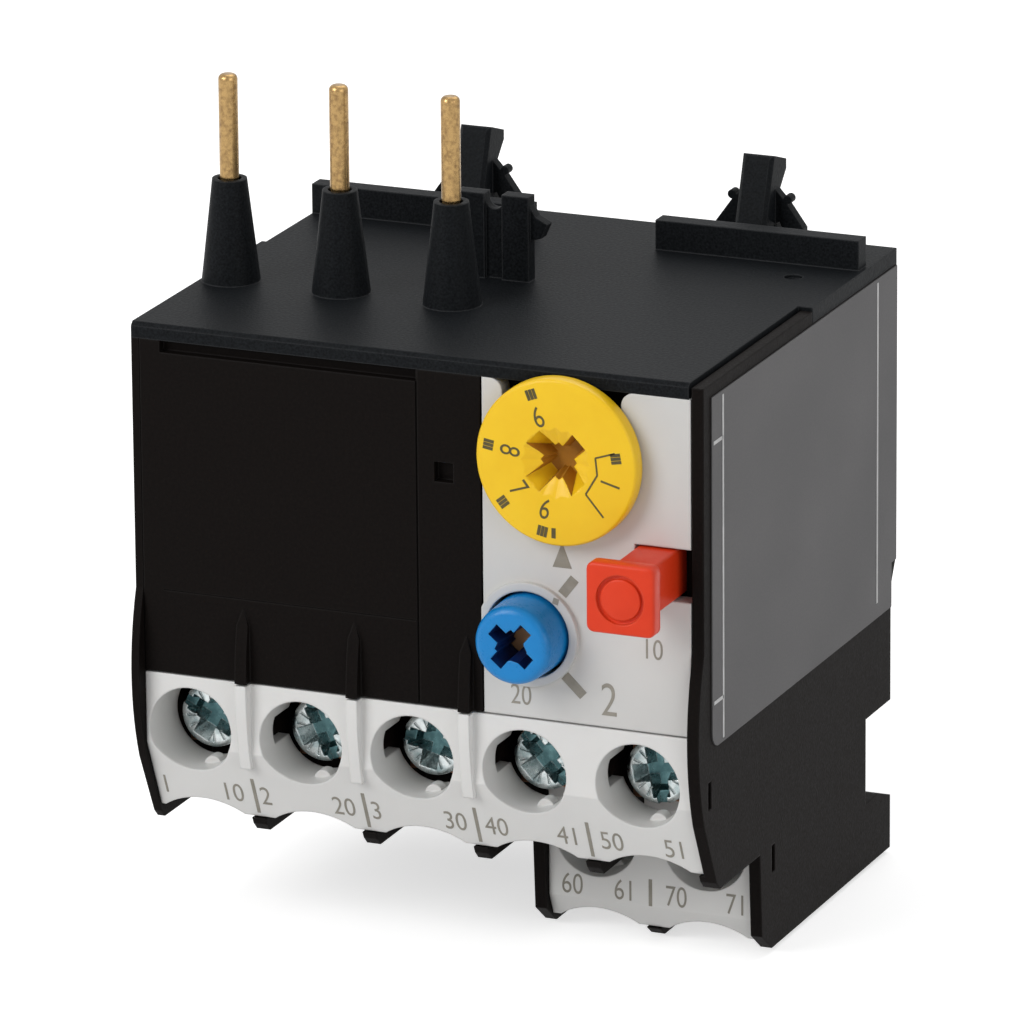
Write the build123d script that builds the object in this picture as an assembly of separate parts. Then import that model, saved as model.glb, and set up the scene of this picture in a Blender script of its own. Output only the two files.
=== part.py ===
# Thermal overload relay that plugs in under a mini contactor and hangs from it.
# Millimetres. X runs from left to right, Y from the front to the back and Z up.
# The origin lies on the top face, at mid width, in line with the three contact pins.
from build123d import *
from math import cos, radians, sin
import os

# Widths, counted from the left side
PITCH = 8.9              # from one terminal, and one pole, to the next
UPPER_TERMINALS = 5
POLES = 3
BORE_D = 6.6             # screwdriver bore of a terminal
BORE_WEB = 0.3           # between the left wall and the first bore
BORE_MARGIN = 1.0        # between the last bore and the right wall
WALL_LEFT = 0.6
WALL_RIGHT = 0.9
WIDTH = (WALL_LEFT + BORE_WEB + BORE_D + (UPPER_TERMINALS - 1) * PITCH
         + BORE_MARGIN + WALL_RIGHT)
PARTITION_T = 1.1        # between two terminal wells
BARRIER_T = 0.9          # between two poles inside

# Depths, counted from the front face
PIN_SETBACK = 12.9
DEPTH = 38.8
DEPTH_STEP = 1.0         # the lower part of the back is this much further in
STEP_DROP = 24.3
STEP_H = 1.9
PANEL_T = 1.5
STRIP_T = 4.9
WELL_DEPTH = 11.5
WELL_WALL = 1.0
REAR_WALL = 1.3
LOWER_SETBACK = 11.8     # front face of the lower terminal strip
NOTCH_DEPTH = 5.2

# Heights, counted down from the top face
COVER_T = 1.2
PANEL_H = 25.4
PANEL_GAP = 0.15
TERMINAL_DROP = 4.2      # from the top of a strip to its screws
STRIP_H = 11.05
UPPER_FOOT = 1.2         # the walls reach this far below the upper strip
UPPER_H = COVER_T + PANEL_H + PANEL_GAP + STRIP_H + UPPER_FOOT
LOWER_DROP = 8.4         # from the upper screws to the lower ones
LOWER_FOOT = 0.8         # the walls reach this far below the lower strip
LOWER_H = COVER_T + PANEL_H + PANEL_GAP + LOWER_DROP + STRIP_H + LOWER_FOOT
FLOOR_T = 1.2
ROOF_T = 1.0
NOTCH_H = 6.7
NOTCH_SILL = 5.1         # the walls go on this far below the notch
NOTCH_TOP = LOWER_H - NOTCH_SILL - NOTCH_H
HOOK_SLOPE = 0.9         # the lip below the notch rises this much to the front

# Front edge of the walls and fins
BULGE = 1.1
BULGE_H = 13.1
CHIN_H = 5.6
BULGE_BOTTOM = UPPER_H - CHIN_H
BULGE_TOP = BULGE_BOTTOM - BULGE_H
CHIN_DEPTH = 2.4         # how far the edge runs back below the bulge
TIP_R = 0.6
FIN_T = 0.9
FIN_BULGE = 0.8
FIN_START = 0.6          # the pointed top of a fin lies this far below the bulge's start
FIN_POINT_H = 1.3
LOWER_CHIN = 1.5
SLIT_W = 0.6
SLIT_H = 2.1

# Top cover
SLEEVE_BASE_R = 2.2
SLEEVE_TOP_R = 1.3
SLEEVE_H = 7.8
SLEEVE_BORE_R = 0.9
RIM_SETBACK = 31.8
RIM_T = 1.5
RIM_H = 2.3
RIM_RIGHT_START = 28.4
RIM_LEFT_END = 18.2
SIDE_STRIP_LENGTH = 21.4
SIDE_STRIP_DROP = 0.3
GROOVE_W = 0.25
LEFT_INSET = 0.35
LEFT_INSET_START = 23.3
GUIDE_LEFT = 17.3
GUIDE_W = 5.8
GUIDE_SETBACK = 20.0
GUIDE_T = 1.2
GUIDE_H = 6.5
GUIDE_SLOT_X = 2.95      # from the guide's left side to the middle of its notch
GUIDE_SLOT_W = 1.4
GUIDE_SLOT_H = 1.2
GUIDE_CHANNEL_DEPTH = 0.35
GUIDE_LUG_W = 1.4
GUIDE_LUG_H = 2.8
GUIDE_LUG_DROP = 0.6
DIMPLE_X = 40.7
DIMPLE_SETBACK = 28.6
DIMPLE_R = 0.7
DIMPLE_DEPTH = 0.3

# Snap hooks at the back
HOOK_X = 10.0
HOOK_SPACING = 23.1
HOOK_W = 2.5
HOOK_H = 5.6
HOOK_LEAN = 1.9          # from the foot to the top, backwards
HOOK_TOP_DEPTH = 2.7
HOOK_TOP_FALL = 0.9
HOOK_BARB = 1.5
HOOK_ROUND = 0.5
HOOK_CHAMFER = 0.3
HOOK_FOOT_H = 7.0
HOOK_WING_W = 7.1
HOOK_WING_TOP_W = 4.5
HOOK_WING_SETBACK = 2.3
HOOK_WING_T = 0.8
HOOK_WING_H = 1.8
HOOK_WING_SHOULDER = 1.1
HOOK_SKIRT_H = 3.2
HOOK_BEAD_R = 0.35
HOOK_SLOT_W = 0.35
HOOK_SLOT_H = 1.5
HOOK_SLOT_TURN = 28.0

# Contact pins and the current path of a pole
PIN_R = 0.72
PIN_ROOT_W = 1.0         # square root inside the sleeve
PIN_RISE = 0.05          # the round part of a pin starts this far above its sleeve
PIN_H = 15.75
PIN_TIP = 0.4
PIN_COLLAR_R = 1.6
FOOT_W = 2.6
FOOT_H = 2.2
BIMETAL_T = 0.9
BIMETAL_W = 5.0
BIMETAL_END_GAP = 1.6    # above the roof of the terminal wells
COIL_RIBBON_H = 1.0
COIL_RIBBON_T = 0.5
COIL_GAP = 0.6
COIL_TURNS = 6
COIL_START = 2.4
COIL_END_GAP = 3.2       # from the last turn to the trip slider
LEAD_W = 1.4

# Terminals, each counted from the face of its strip
SCREW_RECESS = 3.8
HEAD_D = 5.0
HEAD_T = 1.9
SHANK_D = 3.0
SHANK_END = 11.1
CLAMP_D = 5.2
CLAMP_T = 0.9
CLAMP_GAP = 0.3
BAR_T = 1.5
BAR_INSET = 0.1          # a bar is this much narrower than its bore, on each side
BAR_W = BORE_D - 2 * BAR_INSET
BAR_BELOW = 3.2
LOWER_PITCH = 8.7
LOWER_WALL = 0.9
RETAINER_R = 0.72        # rounded tab in the bore that keeps the screw in
RETAINER_TURN = 80.0     # below the horizontal, on the right of the bore
RETAINER_T = 1.0
RETAINER_DEPTH = 2.6
WINDOW_H = 2.1           # window between two bores, where the black partition shows
WINDOW_SETBACK = 2.35
SCALLOP_H = 1.0
SCALLOP_SHARE = 0.72     # of the distance between two terminals
DRIVE_SLOT_W = 0.8
DRIVE_SLOT_DEPTH = 0.9
DRIVE_ARM = 1.9
DRIVE_TURN = 32.0

# Operating panel
PLATE_LEFT = 27.8
FACE_NOTCH_LEFT = 29.4
FACE_NOTCH_W = 9.25
FACE_NOTCH_H = 4.4
FACE_CORNER_R = 1.0
COVER_SLOT_LEFT = 2.25
COVER_SLOT_W = 20.3
COVER_SLOT_H = 0.9
PEEPHOLE_LEFT = 24.0
PEEPHOLE_DROP = 6.8
PEEPHOLE_W = 1.5
SEAM_W = 0.15
SEAM_DEPTH = 0.15
HAIRLINE_W = 0.08
DIAL_X = 34.15
DIAL_DROP = 6.6
DIAL_R = 6.25
DIAL_T = 1.3
DIAL_GAP = 0.2
DIAL_HUB_R = 2.7
DIAL_RECESS = 0.9
DIAL_MOUTH_R = 1.0
DIAL_SLOT_W = 0.8
DIAL_SLOT_L = 4.3
DIAL_SLOT_TURN = 20.0
DIAL_SHAFT_R = 2.0
CAM_R = 2.6
CAM_RISE = 1.2
CAM_T = 2.0
CAM_SPAN = 200.0
CAM_STEPS = 24
RESET_X = 31.35
RESET_ABOVE = 6.4        # from the lower edge of the panel to the knob's axis
RESET_DROP = COVER_T + PANEL_H - RESET_ABOVE
RESET_R = 3.15
RESET_PROUD = 3.0
RESET_SKIRT = 2.4
RESET_CORE_R = 1.5
RESET_CROSS_W = 1.2
RESET_CROSS_L = 4.4
RESET_CROSS_TURN = 70.0
RESET_TRAVEL = 2.0
COLLAR_R = 3.95
COLLAR_H = 0.4
TEST_X = 41.35
TEST_ABOVE = 5.75        # from the knob's axis up to the button's
TEST_DROP = RESET_DROP - TEST_ABOVE
TEST_HEAD_W = 5.25
TEST_HEAD_T = 1.3
TEST_PROUD = 7.0
TEST_SHAFT_W = 3.1
TEST_SHAFT_H = 3.7
TEST_STEM_R = 1.2
TEST_TRAVEL = 2.5
TEST_RING_R = 1.85
TEST_RING_W = 0.3

# Mechanism
FRAME_T = 1.2
FRAME_RIB_SETBACK = 10.0
SLIDER_T = 1.4
SLIDER_H = 2.0
SLIDER_TIP_X = 32.2
FINGER_W = 1.2
FINGER_GAP = 0.35
LEVER_T = 1.8
LEVER_W = 1.4
LEVER_PIVOT_X = 33.4
LEVER_ABOVE = 13.2       # from the lower edge of the panel to the lever's pivot
LEVER_PIVOT_DROP = COVER_T + PANEL_H - LEVER_ABOVE
LEVER_REACH = 6.8
LEVER_HUB_R = 1.5
PIVOT_R = 0.7
CARRIER_LIFT = 1.2
CARRIER_T = 3.0
CARRIER_STEM_W = 1.6
BRIDGE_W = 2.6
BRIDGE_T = 0.8
CONTACT_BELOW = 0.7      # the contacts lie this far below the panel
CONTACT_DROP = COVER_T + PANEL_H + CONTACT_BELOW
CONTACT_T = 1.0
CONTACT_GAP = 0.1
CONTACT_REACH = 1.9
CONTACT_STEP = 0.3
SETTER_T = 1.2
SETTER_GAP = 0.25
SETTER_PIVOT_DROP = 2.9

# Springs
SPRING_WIRE_R = 0.22
SPRING_CLEAR = 0.15
SPRING_TURNS = 6

# Side label
LABEL_T = 0.1
LABEL_SETBACK = 1.4
LABEL_BELOW = 1.1        # how much taller the label is than the panel
LABEL_H = PANEL_H + LABEL_BELOW
LABEL_CORNER_R = 1.2

# Clearances
RUN = 0.06               # radial, shaft in a hole
SLIDE = 0.15             # flat, piece in a slot
FIT = 0.1                # between fixed neighbours

# Places that follow from the sizes
LEFT = -WIDTH / 2
RIGHT = WIDTH / 2
FRONT = -PIN_SETBACK
REAR = FRONT + DEPTH
NOTCH_Y = REAR - DEPTH_STEP - NOTCH_DEPTH
PANEL_BOTTOM = -(COVER_T + PANEL_H)
STRIP_TOP = PANEL_BOTTOM - PANEL_GAP
TERMINAL_Z = STRIP_TOP - TERMINAL_DROP
LOWER_Z = TERMINAL_Z - LOWER_DROP
LOWER_FRONT = FRONT + LOWER_SETBACK
LOWER_RIGHT = RIGHT - WALL_RIGHT
LOWER_LEFT = LOWER_RIGHT - 2 * LOWER_PITCH + PARTITION_T
ROOF_Z = PANEL_BOTTOM + ROOF_T
LOWER_ROOF_Z = LOWER_Z + TERMINAL_DROP
INNER_FRONT = FRONT + PANEL_T
WELL_BACK = FRONT + WELL_DEPTH
CHAMBER_FRONT = WELL_BACK + WELL_WALL
INNER_REAR = REAR - DEPTH_STEP - REAR_WALL
CLAMP_START = SCREW_RECESS + HEAD_T + FIT / 2
BAR_START = CLAMP_START + CLAMP_T + CLAMP_GAP
FIRST_X = LEFT + WALL_LEFT + BORE_WEB + BORE_D / 2
TERMINAL_X = [FIRST_X + i * PITCH for i in range(UPPER_TERMINALS)]
LOWER_MID = (LOWER_LEFT + LOWER_RIGHT) / 2
LOWER_X = [LOWER_MID - LOWER_PITCH / 2, LOWER_MID + LOWER_PITCH / 2]
POLE_X = [LEFT + SLEEVE_BASE_R + i * PITCH for i in range(POLES)]
DIVIDER_X = [x + PITCH / 2 for x in TERMINAL_X[:-1]]
BARRIER_X = [x + PITCH / 2 for x in POLE_X]
TERMINAL_PLACES = ([(x, FRONT, TERMINAL_Z) for x in TERMINAL_X]
                   + [(x, LOWER_FRONT, LOWER_Z) for x in LOWER_X])
DIAL_AXIS = (LEFT + DIAL_X, -DIAL_DROP)
RESET_AXIS = (LEFT + RESET_X, -RESET_DROP)
TEST_AXIS = (LEFT + TEST_X, -TEST_DROP)
FRAME_BACK = INNER_FRONT + FIT + FRAME_T
RIB_FRONT = FRONT + FRAME_RIB_SETBACK
FOOT_BOTTOM = -COVER_T - COVER_T - FOOT_H
BIMETAL_BOTTOM = ROOF_Z + BIMETAL_END_GAP
SLIDER_Z = BIMETAL_BOTTOM + SLIDER_H
COIL_TOP = FOOT_BOTTOM - COIL_START
COIL_RISE = (COIL_TOP - COIL_END_GAP - SLIDER_Z - SLIDER_H / 2) / COIL_TURNS
SLIDER_Y = BIMETAL_W / 2 + SLIDE + SLIDER_T / 2 + COIL_GAP
PIVOT_AT = (LEFT + LEVER_PIVOT_X, -LEVER_PIVOT_DROP)
MECH_Y = SLIDER_Y
MECH_FRONT = MECH_Y - LEVER_T / 2
CARRIER_Y = (CHAMBER_FRONT + CONTACT_REACH + LOWER_FRONT + BAR_START) / 2


# Helpers

def block(x0, x1, y0, y1, z0, z1):
    return Pos((x0 + x1) / 2, (y0 + y1) / 2, (z0 + z1) / 2) * Box(x1 - x0, y1 - y0, z1 - z0)


def rod_y(x, z, r, y0, y1):
    return Pos(x, (y0 + y1) / 2, z) * Rot(90, 0, 0) * Cylinder(r, y1 - y0)


def rod_z(x, y, r, z0, z1):
    return Pos(x, y, (z0 + z1) / 2) * Cylinder(r, z1 - z0)


def side_shape(outline, x0, x1):
    """Solid between two X places, from an outline of lines drawn in Y and Z."""
    face = make_face(outline)
    turned = Plane(origin=(x0, 0, 0), x_dir=(0, 1, 0), z_dir=(1, 0, 0))
    return extrude(turned * face, amount=x1 - x0)


def front_shape(face, y0, y1):
    """Solid between two Y places, from a face drawn in X and Z."""
    turned = Plane(origin=(0, y0, 0), x_dir=(1, 0, 0), z_dir=(0, -1, 0))
    return extrude(turned * face, amount=y0 - y1)


def coil_spring(inner_r, length):
    """Spring along Z from the origin, round a stem."""
    mean_r = inner_r + SPRING_CLEAR + SPRING_WIRE_R
    turn = length / SPRING_TURNS
    path = Helix(pitch=turn, height=length - 2 * SPRING_WIRE_R, radius=mean_r)
    section = Plane(origin=path @ 0, z_dir=path % 0) * Circle(SPRING_WIRE_R)
    return Pos(0, 0, SPRING_WIRE_R) * sweep(section, path=path, is_frenet=True)


# Housing

def front_edge(bulge):
    """Front edge of the upper walls in Y and Z, from the cover down to the chin."""
    top = (FRONT, -COVER_T)
    start = (FRONT, -BULGE_TOP)
    crest = (FRONT - bulge, -(BULGE_TOP + BULGE_BOTTOM) / 2)
    end = (FRONT, -BULGE_BOTTOM)
    chin = (FRONT + CHIN_DEPTH, -UPPER_H + TIP_R)
    foot = (FRONT + CHIN_DEPTH + TIP_R, -UPPER_H)
    return [Line(top, start), ThreePointArc(start, crest, end), Line(end, chin), Line(chin, foot)], foot


def upper_outline(bulge):
    edge, foot = front_edge(bulge)
    back = [
        foot,
        (NOTCH_Y, -UPPER_H),
        (NOTCH_Y, -NOTCH_TOP),
        (REAR - DEPTH_STEP, -NOTCH_TOP),
        (REAR - DEPTH_STEP, -STEP_DROP - STEP_H),
        (REAR, -STEP_DROP),
        (REAR, -COVER_T),
        (FRONT, -COVER_T),
    ]
    return edge + [Polyline(*back)]


def lower_outline():
    tip = FRONT + LOWER_SETBACK + LOWER_CHIN
    lip = NOTCH_TOP + NOTCH_H
    return [Polyline(
        (LOWER_FRONT - WALL_RIGHT, -UPPER_H + TIP_R),
        (LOWER_FRONT - WALL_RIGHT / 2, -LOWER_H + LOWER_CHIN),
        (tip, -LOWER_H),
        (REAR - DEPTH_STEP, -LOWER_H),
        (REAR - DEPTH_STEP, -lip - HOOK_SLOPE),
        (NOTCH_Y + NOTCH_DEPTH / 2, -lip),
        (NOTCH_Y, -lip),
        (NOTCH_Y, -NOTCH_TOP),
        (LOWER_FRONT - WALL_RIGHT, -NOTCH_TOP),
        close=True,
    )]


def terminal_wells():
    """Room behind each strip for the screws, clamps, bars and wires."""
    half = (PITCH - PARTITION_T) / 2
    wells = []
    for x in TERMINAL_X:
        x0 = max(x - half, LEFT + WALL_LEFT)
        x1 = min(x + half, RIGHT - WALL_RIGHT)
        wells.append(block(x0, x1, FRONT - BULGE, WELL_BACK, -UPPER_H - FLOOR_T, STRIP_TOP))
    half = (LOWER_PITCH - PARTITION_T) / 2
    for x in LOWER_X:
        wells.append(block(x - half, x + half, LOWER_FRONT - WALL_RIGHT - FIT,
                           LOWER_FRONT + WELL_DEPTH, -LOWER_H - FLOOR_T, LOWER_ROOF_Z))
    return wells


def chambers():
    """Hollow of the housing, open at the top and at the front above the strips."""
    x0 = LEFT + WALL_LEFT
    x1 = RIGHT - WALL_RIGHT
    low_rear = NOTCH_Y - REAR_WALL
    split = LOWER_LEFT - LOWER_WALL
    behind_wells = LOWER_FRONT + WELL_DEPTH + WELL_WALL
    floor = -UPPER_H + FLOOR_T
    shelf = -NOTCH_TOP + ROOF_T
    return [
        block(x0, x1, FRONT - BULGE, INNER_REAR, ROOF_Z, 0),
        block(x0, x1, FRONT - BULGE, INNER_FRONT + FIT, STRIP_TOP, 0),
        block(x0, split, CHAMBER_FRONT, INNER_REAR, shelf, ROOF_Z),
        block(x0, split, CHAMBER_FRONT, low_rear, floor, shelf),
        block(LOWER_LEFT, x1, CHAMBER_FRONT, INNER_REAR, LOWER_ROOF_Z + ROOF_T, ROOF_Z),
        block(LOWER_LEFT, x1, behind_wells, low_rear, -LOWER_H + FLOOR_T, LOWER_ROOF_Z + ROOF_T),
    ]


def strip_pockets():
    """Seats of the two terminal strips in the walls and partitions."""
    strip_bottom = STRIP_TOP - STRIP_H - FIT
    lower_top = LOWER_ROOF_Z
    lower_bottom = LOWER_Z + TERMINAL_DROP - STRIP_H - FIT
    return [
        block(LEFT + WALL_LEFT, RIGHT - WALL_RIGHT, FRONT - BULGE, FRONT + STRIP_T + FIT,
              strip_bottom, STRIP_TOP + PANEL_GAP),
        block(LOWER_LEFT, LOWER_RIGHT, LOWER_FRONT - WALL_RIGHT - FIT,
              LOWER_FRONT + STRIP_T + FIT, lower_bottom, lower_top),
    ]


def bar_slots():
    """Slots through which the terminal bars reach the inside."""
    slots = []
    half = BAR_W / 2 + FIT
    y0 = FRONT + BAR_START - FIT
    y1 = FRONT + BAR_START + BAR_T + FIT
    for x in TERMINAL_X[:POLES]:
        slots.append(block(x - half, x + half, y0, y1, PANEL_BOTTOM - ROOF_T, ROOF_Z + FIT))
    tab = BRIDGE_W / 2 + FIT
    for x in LOWER_X:
        slots.append(block(x - tab, x + tab, WELL_BACK - FIT, CHAMBER_FRONT + FIT,
                           -CONTACT_DROP - CONTACT_T - FIT, -CONTACT_DROP + FIT))
        slots.append(block(x - tab, x + tab, LOWER_FRONT + BAR_START - FIT,
                           LOWER_FRONT + BAR_START + BAR_T + FIT,
                           LOWER_ROOF_Z - FIT, LOWER_ROOF_Z + ROOF_T + FIT))
    return slots


def pole_barriers():
    """Walls between the poles, with a window in which the trip slider runs."""
    window = block(LEFT, RIGHT, SLIDER_Y - SLIDER_T / 2 - SLIDE, SLIDER_Y + SLIDER_T / 2 + SLIDE,
                   SLIDER_Z - SLIDER_H / 2 - SLIDE, SLIDER_Z + SLIDER_H / 2 + SLIDE)
    barriers = []
    for x in BARRIER_X:
        wall = block(x - BARRIER_T / 2, x + BARRIER_T / 2, WELL_BACK, INNER_REAR + FIT,
                     ROOF_Z - FIT, -COVER_T - FIT)
        barriers.append(wall - window)
    return barriers


def wall_slits():
    """Two short moulded slits in the outside of the right wall."""
    x0 = RIGHT - WALL_RIGHT / 2
    upper_y = FRONT + PANEL_T / 2
    lower_y = LOWER_FRONT + LOWER_CHIN
    upper_z = BULGE - BULGE_BOTTOM
    return [
        block(x0, RIGHT + FIT, upper_y, upper_y + SLIT_W, upper_z, upper_z + SLIT_H),
        block(x0, RIGHT + FIT, lower_y, lower_y + SLIT_W, -UPPER_H - SLIT_H, -UPPER_H),
    ]


def partition_tongues():
    """Front ends of the partitions, seen through the windows between the bores."""
    places = [(x, FRONT, TERMINAL_Z) for x in DIVIDER_X] + [(LOWER_MID, LOWER_FRONT, LOWER_Z)]
    half = WINDOW_H / 2 - FIT
    return [block(x - PARTITION_T / 2, x + PARTITION_T / 2, y + WINDOW_SETBACK + FIT,
                  y + STRIP_T + 2 * FIT, z - half, z + half) for x, y, z in places]


def housing():
    body = side_shape(upper_outline(BULGE), LEFT, RIGHT)
    body += side_shape(lower_outline(), LOWER_LEFT - LOWER_WALL, RIGHT)
    for room in chambers() + terminal_wells() + strip_pockets():
        body -= room
    for wall in pole_barriers() + partition_tongues():
        body += wall
    body += block(RIGHT - WALL_RIGHT, RIGHT, FRONT, FRONT + SIDE_STRIP_LENGTH, -COVER_T - FIT,
                  -SIDE_STRIP_DROP)
    for slot in bar_slots() + wall_slits():
        body -= slot
    return body


# Top cover

def sleeve(x):
    return Pos(x, 0, SLEEVE_H / 2) * Cone(SLEEVE_BASE_R, SLEEVE_TOP_R, SLEEVE_H)


def guide():
    """Upright plate with a round-bottomed notch that lines the relay up with the contactor."""
    x0 = LEFT + GUIDE_LEFT
    x1 = x0 + GUIDE_W
    y0 = FRONT + GUIDE_SETBACK
    y1 = y0 + GUIDE_T
    plate = block(x0, x1, y0, y1, 0, GUIDE_H)
    slot_x = x0 + GUIDE_SLOT_X
    slot_r = GUIDE_SLOT_W / 2
    slot_z = GUIDE_H - GUIDE_SLOT_H + slot_r
    plate -= block(slot_x - slot_r, slot_x + slot_r, y0 - FIT, y1 + FIT, slot_z, GUIDE_H + FIT)
    plate -= rod_y(slot_x, slot_z, slot_r, y0 - FIT, y1 + FIT)
    plate -= block(slot_x - slot_r, slot_x + slot_r, y0 - FIT, y0 + GUIDE_CHANNEL_DEPTH, 0, slot_z)
    lug_top = GUIDE_H - GUIDE_LUG_DROP
    lug = make_face(Polyline(
        (x1 - FIT, lug_top),
        (x1 + GUIDE_LUG_W / 3, lug_top - GUIDE_LUG_H / 3),
        (x1 + GUIDE_LUG_W, lug_top - GUIDE_LUG_H / 2),
        (x1 + GUIDE_LUG_W * 2 / 3, lug_top - GUIDE_LUG_H * 8 / 9),
        (x1 - FIT, lug_top - GUIDE_LUG_H),
        close=True,
    ))
    return plate + front_shape(lug, y0 + GUIDE_T / 4, y1)


def top_cover():
    plate = block(LEFT, RIGHT, FRONT, REAR, -COVER_T, 0)
    front_top = plate.edges().filter_by(Axis.X).group_by(Axis.Z)[-1].sort_by(Axis.Y)[0]
    plate = chamfer(front_top, SIDE_STRIP_DROP)
    plate -= block(RIGHT - WALL_RIGHT - GROOVE_W, RIGHT + FIT, FRONT - FIT, FRONT + SIDE_STRIP_LENGTH + FIT,
                   -COVER_T - FIT, FIT)
    plate -= block(LEFT - FIT, LEFT + LEFT_INSET, FRONT + LEFT_INSET_START, REAR + FIT, -COVER_T - FIT, FIT)
    rim_y = FRONT + RIM_SETBACK
    cover = plate
    cover += block(LEFT + LEFT_INSET, LEFT + RIM_LEFT_END, rim_y, rim_y + RIM_T, -FIT, RIM_H)
    cover += block(LEFT + RIM_RIGHT_START, RIGHT - LEFT_INSET, rim_y, rim_y + RIM_T, -FIT, RIM_H)
    cover += guide()
    for x in POLE_X:
        cover += sleeve(x)
    for x in POLE_X:
        cover -= rod_z(x, 0, SLEEVE_BORE_R, -COVER_T - FIT, SLEEVE_H + FIT)
    cover -= rod_z(LEFT + DIMPLE_X, FRONT + DIMPLE_SETBACK, DIMPLE_R, -DIMPLE_DEPTH, FIT)
    return cover


def hook_prong(x):
    """Prong that leans back and ends in a barb."""
    top_back = REAR + HOOK_LEAN + HOOK_TOP_DEPTH
    back = REAR + HOOK_WING_SETBACK + HOOK_WING_T
    outline = [Polyline(
        (REAR, -HOOK_FOOT_H),
        (REAR, 0),
        (REAR + HOOK_LEAN, HOOK_H),
        (top_back, HOOK_H - HOOK_TOP_FALL),
        (top_back, HOOK_H - HOOK_TOP_FALL - HOOK_BARB / 2),
        (back, HOOK_H - HOOK_TOP_FALL - HOOK_BARB * 3 / 2),
        (back, -HOOK_FOOT_H),
        close=True,
    )]
    prong = side_shape(outline, x - HOOK_W / 2, x + HOOK_W / 2)
    slanted = prong.faces().sort_by(Axis.Y)[1]
    prong = chamfer(slanted.edges().filter_by(Axis.X, reverse=True), HOOK_CHAMFER)
    top = prong.edges().filter_by(Axis.X).group_by(Axis.Z)[-1]
    return fillet(top, HOOK_ROUND)


def contactor_hook(x):
    """Snap hook on the back wall, with a slotted wing on each side of its prong."""
    hook = hook_prong(x)
    foot = HOOK_WING_W / 2
    shoulder = HOOK_WING_TOP_W / 2
    wing = make_face(Polyline(
        (x - foot, -HOOK_SKIRT_H),
        (x - foot, 0),
        (x - shoulder, HOOK_WING_H),
        (x - HOOK_W / 2, HOOK_WING_H + HOOK_WING_SHOULDER),
        (x + HOOK_W / 2, HOOK_WING_H + HOOK_WING_SHOULDER),
        (x + shoulder, HOOK_WING_H),
        (x + foot, 0),
        (x + foot, -HOOK_SKIRT_H),
        close=True,
    ))
    y0 = REAR + HOOK_WING_SETBACK
    y1 = y0 + HOOK_WING_T
    wings = front_shape(wing, y0, y1)
    for side in (-1, 1):
        wings += rod_y(x + side * shoulder, HOOK_WING_H + HOOK_BEAD_R, HOOK_BEAD_R, y0, y1)
        slot = block(-HOOK_SLOT_W / 2, HOOK_SLOT_W / 2, y0 - FIT, y1 + FIT,
                     -HOOK_SLOT_H / 2, HOOK_SLOT_H / 2)
        slot_x = x + side * (HOOK_W / 2 + HOOK_SLOT_W * 3 / 2)
        wings -= Pos(slot_x, 0, -HOOK_SLOT_H / 4) * Rot(0, -side * HOOK_SLOT_TURN, 0) * slot
    return hook + wings + block(x - foot, x + foot, REAR, y1, -HOOK_FOOT_H, -HOOK_SKIRT_H)


# Front panels

def fin(x, z_top, z_bottom):
    """Thin curved rib with a pointed top in front of a panel, between two terminals."""
    start = -(BULGE_TOP + FIN_START)
    crest_z = (start - BULGE_BOTTOM) / 2
    arc = ThreePointArc((FRONT, start), (FRONT - FIN_BULGE, crest_z), (FRONT, -BULGE_BOTTOM))
    back = Polyline((FRONT, -BULGE_BOTTOM), (FRONT + PANEL_T / 2, -BULGE_BOTTOM),
                    (FRONT + PANEL_T / 2, start), (FRONT, start))
    half = FIN_T / 2
    pointed = make_face(Polyline((x - half, -UPPER_H), (x - half, start - FIN_POINT_H), (x, start),
                                 (x + half, start - FIN_POINT_H), (x + half, -UPPER_H), close=True))
    whole = side_shape([arc, back], x - half, x + half)
    whole &= front_shape(pointed, FRONT - BULGE, FRONT + PANEL_T)
    return whole & block(x - FIN_T, x + FIN_T, FRONT - BULGE, FRONT + PANEL_T, z_bottom, z_top)


def front_cover():
    x0 = LEFT + WALL_LEFT + FIT / 2
    x1 = LEFT + PLATE_LEFT - PANEL_GAP
    cover = block(x0, x1, FRONT, INNER_FRONT, PANEL_BOTTOM, -COVER_T)
    slot_x = LEFT + COVER_SLOT_LEFT
    seam_x = slot_x + COVER_SLOT_W
    cover -= block(slot_x, seam_x, FRONT - FIT, FRONT + PANEL_T / 2, -COVER_T - COVER_SLOT_H, 0)
    cover -= block(seam_x, seam_x + SEAM_W, FRONT - FIT, FRONT + SEAM_DEPTH, PANEL_BOTTOM - FIT, 0)
    cover -= block(slot_x, seam_x, FRONT - FIT, FRONT + HAIRLINE_W, -BULGE_TOP, -BULGE_TOP + HAIRLINE_W)
    hole_x = LEFT + PEEPHOLE_LEFT
    hole_z = -COVER_T - PEEPHOLE_DROP
    cover -= block(hole_x, hole_x + PEEPHOLE_W, FRONT - FIT, FRONT + PANEL_T / 2,
                   hole_z - PEEPHOLE_W, hole_z)
    for x in DIVIDER_X[:POLES]:
        cover += fin(x, -COVER_T, PANEL_BOTTOM)
    return cover


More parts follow.
